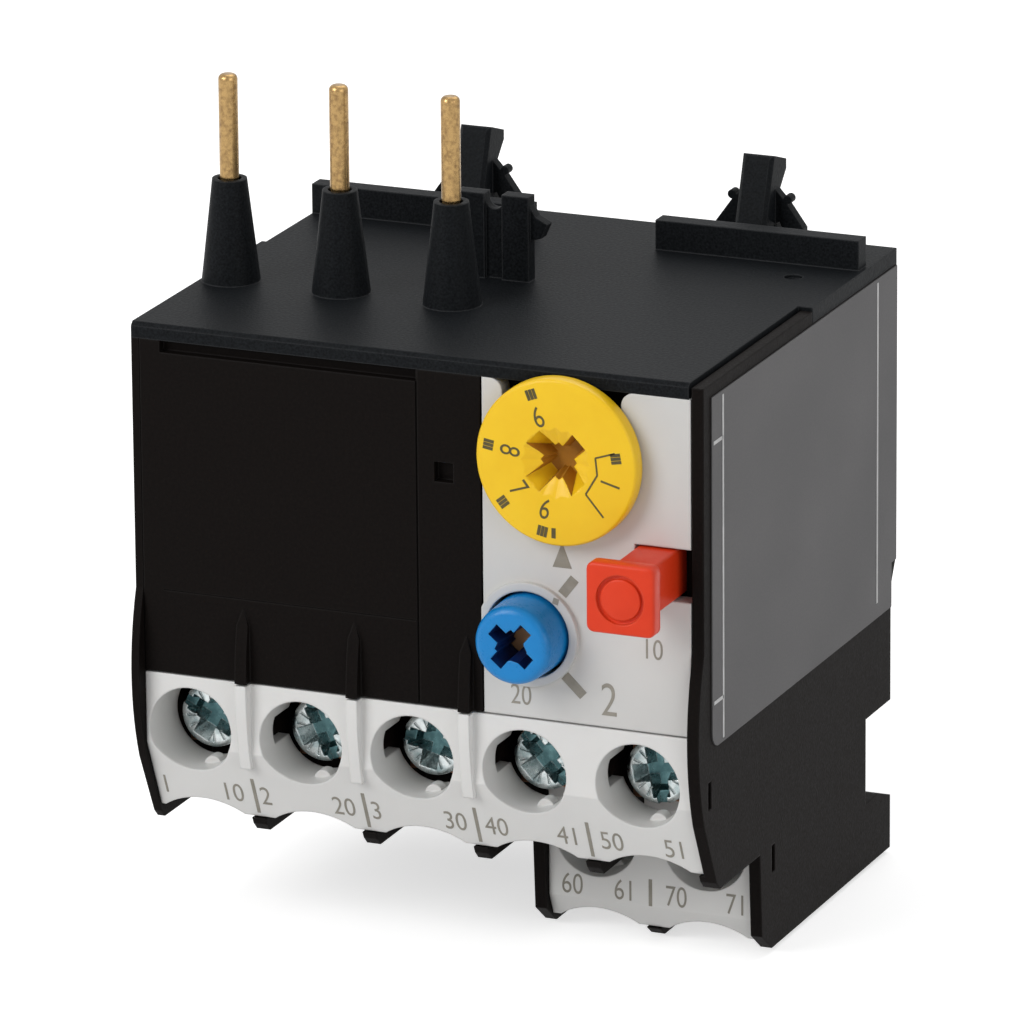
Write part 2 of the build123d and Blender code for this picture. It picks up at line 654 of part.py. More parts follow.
def faceplate():
    x0 = LEFT + PLATE_LEFT
    x1 = RIGHT - WALL_RIGHT - FIT
    plate = block(x0, x1, FRONT, INNER_FRONT, PANEL_BOTTOM, -COVER_T)
    notch_x = LEFT + FACE_NOTCH_LEFT
    plate -= block(notch_x, notch_x + FACE_NOTCH_W, FRONT - FIT, INNER_FRONT + FIT,
                   -COVER_T - FACE_NOTCH_H, 0)
    corners = plate.edges().filter_by(Axis.Y).group_by(Axis.Z)[-1].sort_by(Axis.X)[1:3]
    plate = fillet(corners, FACE_CORNER_R)
    plate -= rod_y(*DIAL_AXIS, DIAL_SHAFT_R + SLIDE, FRONT - FIT, INNER_FRONT + FIT)
    plate += rod_y(*RESET_AXIS, COLLAR_R, FRONT - COLLAR_H, FRONT + FIT)
    plate = plate & block(x0, x1, FRONT - COLLAR_H, INNER_FRONT, PANEL_BOTTOM, -COVER_T)
    plate -= rod_y(*RESET_AXIS, RESET_R + SLIDE, FRONT - COLLAR_H - FIT, INNER_FRONT + FIT)
    tx, tz = TEST_AXIS
    plate -= block(tx - TEST_SHAFT_W / 2 - SLIDE, x1 + FIT, FRONT - FIT, INNER_FRONT + FIT,
                   tz - TEST_SHAFT_H / 2 - SLIDE, tz + TEST_SHAFT_H / 2 + SLIDE)
    return plate


def scallop_cutters(xs, pitch, z_low, y0, y1):
    """Shallow arches under each terminal, cut from the lower edge of a strip."""
    chord = pitch * SCALLOP_SHARE
    r = (chord * chord / 4 + SCALLOP_H * SCALLOP_H) / (2 * SCALLOP_H)
    return [rod_y(x, z_low + SCALLOP_H - r, r, y0, y1) for x in xs]


def terminal_strip(xs, pitch, x0, x1, y_face, z_screw, chin):
    """Moulded strip with one screwdriver bore for each terminal."""
    z_top = z_screw + TERMINAL_DROP
    z_low = z_top - STRIP_H
    slope_z = z_low + CHIN_H * chin / CHIN_DEPTH
    y_back = y_face + STRIP_T
    strip = side_shape([Polyline((y_face, z_top), (y_face, slope_z), (y_face + chin, z_low),
                                 (y_back, z_low), (y_back, z_top), close=True)], x0, x1)
    for cutter in scallop_cutters(xs, pitch, z_low, y_face - FIT, y_back + FIT):
        strip -= cutter
    for x in xs:
        strip -= rod_y(x, z_screw, BORE_D / 2, y_face - FIT, y_back + FIT)
    half = (pitch - BORE_D + WINDOW_H) / 2
    for x in xs[:-1]:
        middle = x + pitch / 2
        strip -= block(middle - half, middle + half, y_face + WINDOW_SETBACK, y_back + FIT,
                       z_screw - WINDOW_H / 2, z_screw + WINDOW_H / 2)
    turn = radians(RETAINER_TURN)
    reach = BORE_D / 2 + RETAINER_R / 4
    y0 = y_face + RETAINER_DEPTH
    for x in xs:
        strip += rod_y(x + reach * cos(turn), z_screw - reach * sin(turn), RETAINER_R, y0,
                       y0 + RETAINER_T)
    return strip


def upper_strip():
    strip = terminal_strip(TERMINAL_X, PITCH, LEFT + WALL_LEFT + FIT / 2, RIGHT - WALL_RIGHT - FIT / 2,
                           FRONT, TERMINAL_Z, CHIN_DEPTH)
    for x in DIVIDER_X[:POLES]:
        strip += fin(x, STRIP_TOP, -UPPER_H)
    return strip


def lower_strip():
    return terminal_strip(LOWER_X, LOWER_PITCH, LOWER_LEFT + FIT / 2, LOWER_RIGHT - FIT / 2,
                          LOWER_FRONT, LOWER_Z, LOWER_CHIN / 2)


def side_label():
    z1 = -COVER_T - FIT
    film = block(RIGHT, RIGHT + LABEL_T, FRONT + LABEL_SETBACK, REAR - LABEL_T, z1 - LABEL_H, z1)
    corner = film.edges().filter_by(Axis.X).group_by(Axis.Z)[0].sort_by(Axis.Y)[0]
    film = fillet(corner, LABEL_CORNER_R)
    step = block(RIGHT - FIT, RIGHT + LABEL_T + FIT, REAR - DEPTH_STEP - LABEL_T, REAR + FIT,
                 z1 - LABEL_H - FIT, -STEP_DROP)
    return film - step


# Current path

def main_pin(x):
    start = SLEEVE_H + PIN_RISE
    half = PIN_ROOT_W / 2
    pin = rod_z(x, 0, PIN_R, start, PIN_H)
    tip = pin.edges().group_by(Axis.Z)[-1]
    pin = fillet(tip, PIN_TIP)
    pin += block(x - half, x + half, -half, half, -2 * COVER_T, start)
    pin += rod_z(x, 0, PIN_COLLAR_R, -2 * COVER_T, -COVER_T)
    pin += block(x - FOOT_W / 2, x + FOOT_W / 2, -BIMETAL_W / 2, BIMETAL_W / 2, FOOT_BOTTOM, -2 * COVER_T)
    return pin


def bimetal_strip(x):
    return block(x - BIMETAL_T / 2, x + BIMETAL_T / 2, -BIMETAL_W / 2, BIMETAL_W / 2,
                 BIMETAL_BOTTOM, FOOT_BOTTOM)


def heater_ring(x, z):
    inner_x = BIMETAL_T / 2 + COIL_GAP
    inner_y = BIMETAL_W / 2 + COIL_GAP / 2
    outer_x = inner_x + COIL_RIBBON_T
    outer_y = inner_y + COIL_RIBBON_T
    ring = block(x - outer_x, x + outer_x, -outer_y, outer_y, z - COIL_RIBBON_H, z)
    return ring - block(x - inner_x, x + inner_x, -inner_y, inner_y, z - COIL_RIBBON_H - FIT, z + FIT)


def heater_winding(x):
    """Ribbon heater wound round a bimetal strip, with a lead up and a lead down."""
    y1 = -(BIMETAL_W / 2 + COIL_GAP / 2)
    y0 = y1 - COIL_RIBBON_T
    first = COIL_TOP
    winding = heater_ring(x, first)
    for i in range(1, COIL_TURNS):
        z = first - i * COIL_RISE
        side = 1 if i % 2 else -1
        riser_x = x + side * (BIMETAL_T / 2 + COIL_GAP + COIL_RIBBON_T / 2)
        winding += heater_ring(x, z)
        winding += block(riser_x - COIL_RIBBON_T / 2, riser_x + COIL_RIBBON_T / 2, -LEAD_W / 2, LEAD_W / 2,
                         z - FIT, z + COIL_RISE - COIL_RIBBON_H + FIT)
    last = first - (COIL_TURNS - 1) * COIL_RISE
    winding += block(x - LEAD_W / 2, x + LEAD_W / 2, y0, y1, last - COIL_RISE, last)
    winding += block(x - LEAD_W / 2, x + LEAD_W / 2, y0, y1, first - COIL_RIBBON_H, FOOT_BOTTOM)
    winding += block(x - LEAD_W / 2, x + LEAD_W / 2, y0, y1, ROOF_Z + ROOF_T, last - COIL_RISE)
    winding += block(x - LEAD_W / 2, x + LEAD_W / 2, y0, -BIMETAL_W / 2, FOOT_BOTTOM,
                     FOOT_BOTTOM + COIL_RIBBON_H)
    return winding


def load_terminal(x, pole_x):
    """Bar under a clamp that rises through the roof of its well to the heater lead."""
    y0 = FRONT + BAR_START
    y1 = y0 + BAR_T
    lead_y = -(BIMETAL_W / 2 + COIL_GAP / 2)
    bar = block(x - BAR_W / 2, x + BAR_W / 2, y0, y1, TERMINAL_Z - BAR_BELOW, ROOF_Z + ROOF_T)
    bar += block(pole_x - LEAD_W, x + BAR_W / 2, y0, lead_y, ROOF_Z + FIT, ROOF_Z + ROOF_T)
    return bar - rod_y(x, TERMINAL_Z, SHANK_D / 2 + RUN, y0 - FIT, y1 + FIT)


def upper_contact(x, contact_x):
    """Auxiliary terminal whose tab runs back into the contact chamber."""
    y0 = FRONT + BAR_START
    y1 = y0 + BAR_T
    bar = block(x - BAR_W / 2, x + BAR_W / 2, y0, y1, TERMINAL_Z - BAR_BELOW, -CONTACT_DROP)
    bar += block(contact_x - BRIDGE_W / 2, contact_x + BRIDGE_W / 2, y0, CHAMBER_FRONT + CONTACT_REACH,
                 -CONTACT_DROP - CONTACT_T, -CONTACT_DROP)
    return bar - rod_y(x, TERMINAL_Z, SHANK_D / 2 + RUN, y0 - FIT, y1 + FIT)


def lower_contact(x):
    """Auxiliary terminal that rises through the roof of its well to the contacts."""
    y0 = LOWER_FRONT + BAR_START
    y1 = y0 + BAR_T
    bar = block(x - BAR_W / 2, x + BAR_W / 2, y0, y1, LOWER_Z - BAR_BELOW, LOWER_ROOF_Z - FIT)
    step_z = LOWER_ROOF_Z + ROOF_T + 2 * CONTACT_T
    post_y = y1 + CONTACT_STEP
    half = BRIDGE_W / 2
    bar += block(x - half, x + half, y0, y1, LOWER_Z, step_z)
    bar += block(x - half, x + half, y0, post_y + CONTACT_T, step_z - CONTACT_T, step_z)
    bar += block(x - half, x + half, post_y, post_y + CONTACT_T, step_z - CONTACT_T, -CONTACT_DROP)
    bar += block(x - half, x + half, y0, post_y + CONTACT_T, -CONTACT_DROP - CONTACT_T, -CONTACT_DROP)
    return bar - rod_y(x, LOWER_Z, SHANK_D / 2 + RUN, y0 - FIT, y1 + FIT)


# Terminal screws and clamps

def terminal_screw(x, y_face, z):
    y0 = y_face + SCREW_RECESS
    y1 = y0 + HEAD_T
    screw = rod_y(x, z, HEAD_D / 2, y0, y1)
    rim = screw.edges().group_by(Axis.Y)[0]
    screw = fillet(rim, HEAD_T / 4)
    screw += rod_y(x, z, SHANK_D / 2, y1, y_face + SHANK_END)
    slot = block(x - HEAD_D, x + HEAD_D, y0 - FIT, y0 + DRIVE_SLOT_DEPTH, z - DRIVE_SLOT_W / 2,
                 z + DRIVE_SLOT_W / 2)
    arm = block(x - DRIVE_SLOT_W / 2, x + DRIVE_SLOT_W / 2, y0 - FIT, y0 + DRIVE_SLOT_DEPTH, z - DRIVE_ARM,
                z + DRIVE_ARM)
    turn = Pos(x, 0, z) * Rot(0, DRIVE_TURN, 0) * Pos(-x, 0, -z)
    return screw - turn * (slot + arm)


def clamp_washer(x, y_face, z):
    y0 = y_face + CLAMP_START
    washer = rod_y(x, z, CLAMP_D / 2, y0, y0 + CLAMP_T)
    return washer - rod_y(x, z, SHANK_D / 2 + RUN, y0 - FIT, y0 + CLAMP_T + FIT)


# Operating parts

def cam_face():
    """Spiral cam drawn in X and Z, whose radius grows evenly with the turn of the dial."""
    cx, cz = DIAL_AXIS
    points = []
    for i in range(CAM_STEPS + 1):
        share = i / CAM_STEPS
        r = CAM_R + CAM_RISE * share
        angle = radians(-CAM_SPAN * share)
        points.append((cx + r * cos(angle), cz + r * sin(angle)))
    return make_face([Spline(points), Line(points[-1], points[0])])


def crossed(x, z, slot, turn):
    """A slot about a Y axis and the same slot a quarter turn on."""
    return [Pos(x, 0, z) * Rot(0, turn + quarter, 0) * slot for quarter in (0, 90)]


def setting_dial():
    """Dial with a conical recess, a cross slot and a hub that passes through the faceplate."""
    cx, cz = DIAL_AXIS
    back_y = FRONT - DIAL_GAP
    face_y = back_y - DIAL_T
    dial = rod_y(cx, cz, DIAL_R, face_y, back_y)
    rim = dial.edges().group_by(Axis.Y)[0]
    dial = chamfer(rim, DIAL_GAP)
    dial += rod_y(cx, cz, DIAL_SHAFT_R, back_y, INNER_FRONT)
    dial -= Pos(cx, face_y + DIAL_RECESS / 2, cz) * Rot(90, 0, 0) * Cone(
        DIAL_MOUTH_R, DIAL_HUB_R, DIAL_RECESS)
    slot = block(-DIAL_SLOT_L / 2, DIAL_SLOT_L / 2, face_y - FIT, face_y + 2 * DIAL_RECESS,
                 -DIAL_SLOT_W / 2, DIAL_SLOT_W / 2)
    for cutter in crossed(cx, cz, slot, DIAL_SLOT_TURN):
        dial -= cutter
    return dial


def dial_shaft():
    """Shaft behind the dial, which carries the cam."""
    cam_y = FRAME_BACK + SLIDE
    shaft = rod_y(*DIAL_AXIS, DIAL_SHAFT_R, INNER_FRONT, cam_y + CAM_T + SLIDE)
    return shaft + front_shape(cam_face(), cam_y, cam_y + CAM_T)


def reset_knob():
    cx, cz = RESET_AXIS
    knob = rod_y(cx, cz, RESET_R, FRONT - COLLAR_H - RESET_PROUD, FRONT + RESET_SKIRT)
    rim = knob.edges().group_by(Axis.Y)[0]
    knob = fillet(rim, FACE_CORNER_R / 2)
    knob -= rod_y(cx, cz, RESET_CORE_R + RUN, FRONT - COLLAR_H, FRONT + RESET_SKIRT + FIT)
    mouth = FRONT - COLLAR_H - RESET_PROUD
    slot = block(-RESET_CROSS_L / 2, RESET_CROSS_L / 2, mouth - FIT, FRONT - COLLAR_H + FIT,
                 -RESET_CROSS_W / 2, RESET_CROSS_W / 2)
    for cutter in crossed(cx, cz, slot, RESET_CROSS_TURN):
        knob -= cutter
    return knob


def reset_plunger():
    cx, cz = RESET_AXIS
    y0 = FRONT - COLLAR_H
    core = rod_y(cx, cz, RESET_CORE_R, y0 + FIT, MECH_FRONT - RESET_TRAVEL - FINGER_GAP)
    seat = FRONT + RESET_SKIRT + FIT
    return core + rod_y(cx, cz, RESET_R, seat, seat + FRAME_T)


def test_button():
    cx, cz = TEST_AXIS
    y0 = FRONT - TEST_PROUD
    half = TEST_HEAD_W / 2
    head = block(cx - half, cx + half, y0, y0 + TEST_HEAD_T, cz - half, cz + half)
    head = fillet(head.edges().filter_by(Axis.Y), TIP_R)
    groove = rod_y(cx, cz, TEST_RING_R, y0 - FIT, y0 + TEST_RING_W)
    groove -= rod_y(cx, cz, TEST_RING_R - TEST_RING_W, y0 - 2 * FIT, y0 + TEST_RING_W + FIT)
    head -= groove
    w = TEST_SHAFT_W / 2
    h = TEST_SHAFT_H / 2
    shaft_end = FRAME_BACK + FRAME_T
    shaft = block(cx - w, cx + w, y0 + TEST_HEAD_T, shaft_end, cz - h, cz + h)
    stem = rod_y(cx, cz, TEST_STEM_R, shaft_end, MECH_FRONT - TEST_TRAVEL - FINGER_GAP)
    return head + shaft + stem


def mechanism_frame():
    """Black inner frame behind the faceplate that guides the reset, the test button and the dial."""
    x0 = LEFT + PLATE_LEFT
    x1 = RIGHT - WALL_RIGHT - FIT
    y0 = INNER_FRONT + FIT
    floor_z = ROOF_Z + FIT
    frame = block(x0, x1, y0, FRAME_BACK, floor_z, -COVER_T - FIT)
    frame += block(x0, x1, y0, RIB_FRONT + FRAME_T, floor_z, floor_z + FRAME_T)
    frame += block(x0, x1, RIB_FRONT, RIB_FRONT + FRAME_T, floor_z, TEST_AXIS[1] + TEST_SHAFT_H)
    through = RIB_FRONT + FRAME_T + FIT
    frame -= rod_y(*DIAL_AXIS, DIAL_SHAFT_R + RUN, y0 - FIT, FRAME_BACK + FIT)
    frame -= rod_y(*RESET_AXIS, RESET_R + SLIDE, y0 - FIT, FRAME_BACK + FIT)
    frame -= rod_y(*RESET_AXIS, RESET_CORE_R + RUN, RIB_FRONT - FIT, through)
    frame -= rod_y(*TEST_AXIS, TEST_STEM_R + RUN, RIB_FRONT - FIT, through)
    tx, tz = TEST_AXIS
    w = TEST_SHAFT_W / 2 + SLIDE
    h = TEST_SHAFT_H / 2 + SLIDE
    frame -= block(tx - w, tx + w, y0 - FIT, FRAME_BACK + FIT, tz - h, tz + h)
    px, pz = PIVOT_AT
    frame += rod_y(px, pz, PIVOT_R, RIB_FRONT, MECH_Y + LEVER_T / 2 + FIT)
    return frame


def setting_lever():
    """Lever that the dial's cam tilts to shift the tripping point."""
    cx, cz = DIAL_AXIS
    x0 = cx + CAM_R + SETTER_GAP
    y0 = FRAME_BACK + SLIDE
    arm = block(x0, x0 + SETTER_T, y0, y0 + CAM_T, cz - CAM_R, -SETTER_PIVOT_DROP)
    pivot_x = x0 + SETTER_T
    arm += rod_y(pivot_x, -SETTER_PIVOT_DROP, LEVER_HUB_R, y0, y0 + CAM_T)
    return arm - rod_y(pivot_x, -SETTER_PIVOT_DROP, PIVOT_R + RUN, y0 - FIT, y0 + CAM_T + FIT)


def setting_pivot():
    x0 = DIAL_AXIS[0] + CAM_R + SETTER_GAP + SETTER_T
    return rod_y(x0, -SETTER_PIVOT_DROP, PIVOT_R, FRAME_BACK, FRAME_BACK + CAM_T + 2 * SLIDE)


def trip_slider():
    """Bar along the three poles, with a finger beside each bimetal strip."""
    y0 = SLIDER_Y - SLIDER_T / 2
    y1 = SLIDER_Y + SLIDER_T / 2
    z0 = SLIDER_Z - SLIDER_H / 2
    z1 = SLIDER_Z + SLIDER_H / 2
    bar = block(POLE_X[0], LEFT + SLIDER_TIP_X, y0, y1, z0, z1)
    for x in POLE_X:
        fx = x + BIMETAL_T / 2 + FINGER_GAP
        bar += block(fx, fx + FINGER_W, 0, y0, z0, z1)
    return bar


def trip_lever():
    """Two-armed lever: the slider pushes its lower arm, its side arm lifts the carrier."""
    px, pz = PIVOT_AT
    y0 = MECH_FRONT
    y1 = MECH_Y + LEVER_T / 2
    tip_z = SLIDER_Z - SLIDER_H / 2
    arm_x = LEFT + SLIDER_TIP_X + FINGER_GAP
    lever = block(arm_x, arm_x + LEVER_W, y0, y1, tip_z, pz)
    lever += block(px, px + LEVER_REACH, y0, y1, pz - LEVER_W / 2, pz + LEVER_W / 2)
    lever += rod_y(px, pz, LEVER_HUB_R, y0, y1)
    return lever - rod_y(px, pz, PIVOT_R + RUN, y0 - FIT, y1 + FIT)


def contact_carrier():
    """Insulating carrier of both contact bridges, with a stem up to the trip lever."""
    x0 = LOWER_X[0] - BRIDGE_W
    x1 = LOWER_X[1] + BRIDGE_W / 2 + FRAME_T
    y0 = CARRIER_Y - CARRIER_T / 2
    y1 = CARRIER_Y + CARRIER_T / 2
    top = -CONTACT_DROP + BRIDGE_T + CONTACT_GAP + FRAME_T
    bottom = -CONTACT_DROP - CONTACT_T - CARRIER_LIFT - BRIDGE_T - FRAME_T
    body = block(x0, x1, y0, y1, bottom, top)
    for i, x in enumerate(LOWER_X):
        z0, z1 = bridge_levels(i)
        half = BRIDGE_W / 2 + FIT / 2
        body -= block(x - half, x + half, y0 - FIT, y1 + FIT, z0 - FIT / 2, z1 + FIT / 2)
    shelf = PIVOT_AT[1] + LEVER_W / 2 + FINGER_GAP
    stem_x = PIVOT_AT[0] + LEVER_REACH + FINGER_GAP
    stem_y0 = MECH_FRONT
    stem_y1 = max(MECH_Y + LEVER_T / 2, y1)
    body += block(stem_x, stem_x + CARRIER_STEM_W, stem_y0, stem_y1, top - FRAME_T, shelf + FRAME_T)
    body += block(stem_x - CARRIER_STEM_W, stem_x, stem_y0, stem_y1, shelf, shelf + FRAME_T)
    return body


def bridge_levels(i):
    """Bottom and top of the opening bridge, then of the closing one."""
    if i == 0:
        z1 = -CONTACT_DROP - CONTACT_T - CARRIER_LIFT - CONTACT_GAP
        return z1 - BRIDGE_T, z1
    z0 = -CONTACT_DROP + CONTACT_GAP
    return z0, z0 + BRIDGE_T


def contact_bridge(i):
    x = LOWER_X[i]
    z0, z1 = bridge_levels(i)
    y1 = LOWER_FRONT + BAR_START + BAR_T
    return block(x - BRIDGE_W / 2, x + BRIDGE_W / 2, CHAMBER_FRONT + 2 * FIT, y1, z0, z1)


def carrier_spring():
    bottom = -CONTACT_DROP - CONTACT_T - CARRIER_LIFT - BRIDGE_T - FRAME_T
    floor = LOWER_ROOF_Z + ROOF_T
    return Pos(LOWER_MID, CARRIER_Y, floor) * coil_spring(LEVER_HUB_R / 2, bottom - floor)


def along_y(shape, x, y, z):
    return Pos(x, y, z) * Rot(-90, 0, 0) * shape


def reset_spring():
    y0 = FRONT + RESET_SKIRT + FIT + FRAME_T
    return along_y(coil_spring(RESET_CORE_R, RIB_FRONT - y0), RESET_AXIS[0], y0, RESET_AXIS[1])


def test_spring():
    y0 = FRAME_BACK + FRAME_T
    return along_y(coil_spring(TEST_STEM_R, RIB_FRONT - y0), TEST_AXIS[0], y0, TEST_AXIS[1])


# All nodes by name

def all_nodes():
    nodes = {
        "housing": housing(),
        "top_cover": top_cover(),
        "front_cover": front_cover(),
        "faceplate": faceplate(),
        "upper_terminal_strip": upper_strip(),
        "lower_terminal_strip": lower_strip(),
        "side_label": side_label(),
        "contactor_hook_left": contactor_hook(LEFT + HOOK_X),
        "contactor_hook_right": contactor_hook(LEFT + HOOK_X + HOOK_SPACING),
        "mechanism_frame": mechanism_frame(),
        "setting_dial": setting_dial(),
        "dial_shaft": dial_shaft(),
        "setting_lever": setting_lever(),
        "setting_pivot": setting_pivot(),
        "reset_knob": reset_knob(),
        "reset_plunger": reset_plunger(),
        "reset_spring": reset_spring(),
        "test_button": test_button(),
        "test_spring": test_spring(),
        "trip_slider": trip_slider(),
        "trip_lever": trip_lever(),
        "contact_carrier": contact_carrier(),
        "no_contact_bridge": contact_bridge(0),
        "nc_contact_bridge": contact_bridge(1),
        "carrier_spring": carrier_spring(),
        "no_upper_contact": upper_contact(TERMINAL_X[POLES], LOWER_X[0]),
        "nc_upper_contact": upper_contact(TERMINAL_X[POLES + 1], LOWER_X[1]),
        "no_lower_contact": lower_contact(LOWER_X[0]),
        "nc_lower_contact": lower_contact(LOWER_X[1]),
    }
    for i, x in enumerate(POLE_X):
        pole = i + 1
        nodes[f"main_pin_{pole}"] = main_pin(x)
        nodes[f"bimetal_strip_{pole}"] = bimetal_strip(x)
        nodes[f"heater_winding_{pole}"] = heater_winding(x)
        nodes[f"load_terminal_{pole}"] = load_terminal(TERMINAL_X[i], x)
    for i, place in enumerate(TERMINAL_PLACES):
        nodes[f"terminal_screw_{i + 1}"] = terminal_screw(*place)
        nodes[f"clamp_washer_{i + 1}"] = clamp_washer(*place)
    return nodes


os.makedirs("parts", exist_ok=True)
for name, shape in all_nodes().items():
    export_step(shape, f"parts/{name}.step")
print(f"width {WIDTH:.2f}, depth {DEPTH:.2f}, height {LOWER_H + PIN_H:.2f}")
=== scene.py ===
import bpy
import math
from mathutils import Matrix, Vector


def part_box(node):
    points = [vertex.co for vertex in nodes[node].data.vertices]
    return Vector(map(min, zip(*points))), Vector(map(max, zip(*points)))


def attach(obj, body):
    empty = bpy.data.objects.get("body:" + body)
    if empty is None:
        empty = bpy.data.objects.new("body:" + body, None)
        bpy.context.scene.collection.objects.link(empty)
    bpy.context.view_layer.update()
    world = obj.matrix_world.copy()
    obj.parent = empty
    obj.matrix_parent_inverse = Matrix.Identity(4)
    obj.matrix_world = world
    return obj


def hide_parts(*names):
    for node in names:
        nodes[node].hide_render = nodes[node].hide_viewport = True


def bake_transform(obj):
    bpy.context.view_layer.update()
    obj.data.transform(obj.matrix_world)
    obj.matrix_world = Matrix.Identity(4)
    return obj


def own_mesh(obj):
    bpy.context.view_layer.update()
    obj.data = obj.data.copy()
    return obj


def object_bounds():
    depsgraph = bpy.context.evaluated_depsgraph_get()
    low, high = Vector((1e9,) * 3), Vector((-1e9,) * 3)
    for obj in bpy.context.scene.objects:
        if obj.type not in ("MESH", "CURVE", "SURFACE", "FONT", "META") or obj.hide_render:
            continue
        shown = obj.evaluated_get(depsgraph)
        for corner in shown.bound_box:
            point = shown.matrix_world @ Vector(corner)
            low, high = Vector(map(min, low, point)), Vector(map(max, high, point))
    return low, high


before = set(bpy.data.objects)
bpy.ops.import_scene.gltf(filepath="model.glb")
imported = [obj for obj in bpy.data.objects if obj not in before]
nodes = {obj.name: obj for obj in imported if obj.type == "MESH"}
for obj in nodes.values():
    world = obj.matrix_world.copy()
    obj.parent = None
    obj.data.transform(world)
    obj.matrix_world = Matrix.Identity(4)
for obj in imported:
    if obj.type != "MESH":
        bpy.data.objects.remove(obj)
cadLow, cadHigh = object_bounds()
mm = 0.001
print("frame loaded:", len(nodes), "nodes")


# camera and stage

cameraSetup = {
    "azimuth": 23.026,
    "elevation": 17.252,
    "roll": -0.474,
    "distance": 743.4 * mm,
    "look": (-0.476 * mm, 6.1 * mm, -17.544 * mm),
    "lens": 351.7,
    "sensor": 36.0,
    "near": 0.05,
    "far": 20.0,
}


def placeCamera(settings):
    data = bpy.data.cameras.new("photoCamera")
    data.lens = settings["lens"]
    data.sensor_width = settings["sensor"]
    data.clip_start = settings["near"]
    data.clip_end = settings["far"]
    camera = bpy.data.objects.new("photoCamera", data)
    bpy.context.scene.collection.objects.link(camera)
    turn = math.radians(settings["azimuth"])
    lift = math.radians(settings["elevation"])
    roll = math.radians(settings["roll"])
    back = Vector((math.sin(turn) * math.cos(lift), -math.cos(turn) * math.cos(lift), math.sin(lift)))
    side = Vector((math.cos(turn), math.sin(turn), 0.0))
    up = back.cross(side)
    right = side * math.cos(roll) + up * math.sin(roll)
    top = up * math.cos(roll) - side * math.sin(roll)
    spot = Vector(settings["look"]) + back * settings["distance"]
    rows = [[right[i], top[i], back[i], spot[i]] for i in range(3)] + [[0.0, 0.0, 0.0, 1.0]]
    camera.matrix_world = Matrix(rows)
    bpy.context.scene.camera = camera


placeCamera(cameraSetup)
bpy.context.scene.view_settings.view_transform = "Standard"
print("camera placed")

stageSetup = {
    "floorSize": 4.0,
    "floorGap": 0.4 * mm,
    "floorTone": 0.78,
    "floorRough": 0.9,
    "floorGlow": 0.62,
    "worldTone": 1.0,
    "worldLight": 0.27,
}


def seenRays(tree):
    # 1 for camera, mirror and glass rays, 0 for the rays that light the object
    path = tree.nodes.new("ShaderNodeLightPath")
    total = path.outputs["Is Camera Ray"]
    for kind in ("Is Glossy Ray", "Is Transmission Ray"):
        step = tree.nodes.new("ShaderNodeMath")
        step.operation = "MAXIMUM"
        tree.links.new(total, step.inputs[0])
        tree.links.new(path.outputs[kind], step.inputs[1])
        total = step.outputs[0]
    return total


def buildStage():
    bpy.ops.object.select_all(action="DESELECT")
    level = cadLow.z - stageSetup["floorGap"]
    bpy.ops.mesh.primitive_plane_add(size=stageSetup["floorSize"], location=(0, 0, level))
    floor = bpy.context.object
    floor.name = "floor"
    material = bpy.data.materials.new("floorPaper")
    material.use_nodes = True
    tree = material.node_tree
    skin = tree.nodes["Principled BSDF"]
    skin.inputs["Base Color"].default_value = (stageSetup["floorTone"],) * 3 + (1,)
    skin.inputs["Roughness"].default_value = stageSetup["floorRough"]
    skin.inputs["Specular IOR Level"].default_value = 0.0
    skin.inputs["Emission Color"].default_value = (1, 1, 1, 1)
    glow = tree.nodes.new("ShaderNodeMath")
    glow.operation = "MULTIPLY"
    glow.inputs[1].default_value = stageSetup["floorGlow"]
    tree.links.new(seenRays(tree), glow.inputs[0])
    tree.links.new(glow.outputs[0], skin.inputs["Emission Strength"])
    floor.data.materials.append(material)

    world = bpy.data.worlds.new("studio")
    bpy.context.scene.world = world
    world.use_nodes = True
    tree = world.node_tree
    tree.nodes.clear()
    lit = tree.nodes.new("ShaderNodeBackground")
    lit.inputs["Color"].default_value = (1, 1, 1, 1)
    lit.inputs["Strength"].default_value = stageSetup["worldLight"]
    seen = tree.nodes.new("ShaderNodeBackground")
    seen.inputs["Color"].default_value = (1, 1, 1, 1)
    seen.inputs["Strength"].default_value = stageSetup["worldTone"]
    mix = tree.nodes.new("ShaderNodeMixShader")
    end = tree.nodes.new("ShaderNodeOutputWorld")
    tree.links.new(seenRays(tree), mix.inputs["Fac"])
    tree.links.new(lit.outputs[0], mix.inputs[1])
    tree.links.new(seen.outputs[0], mix.inputs[2])
    tree.links.new(mix.outputs[0], end.inputs["Surface"])


lampSetup = [
    {"name": "keyLeft", "spot": (-0.55, -0.75, 0.55), "size": 0.6, "power": 7.2},
    {"name": "fillRight", "spot": (0.85, -0.45, 0.3), "size": 0.7, "power": 2.6},
    {"name": "topBack", "spot": (0.05, 0.45, 0.85), "size": 0.8, "power": 3.4},
]


def buildLamps():
    for lamp in lampSetup:
        data = bpy.data.lights.new(lamp["name"], "AREA")
        data.size = lamp["size"]
        data.energy = lamp["power"]
        light = bpy.data.objects.new(lamp["name"], data)
        bpy.context.scene.collection.objects.link(light)
        light.location = lamp["spot"]
        aim = Vector(cameraSetup["look"]) - Vector(lamp["spot"])
        light.rotation_euler = aim.to_track_quat("-Z", "Y").to_euler()


buildStage()
buildLamps()
print("stage and lamps ready")


# shared surface effects

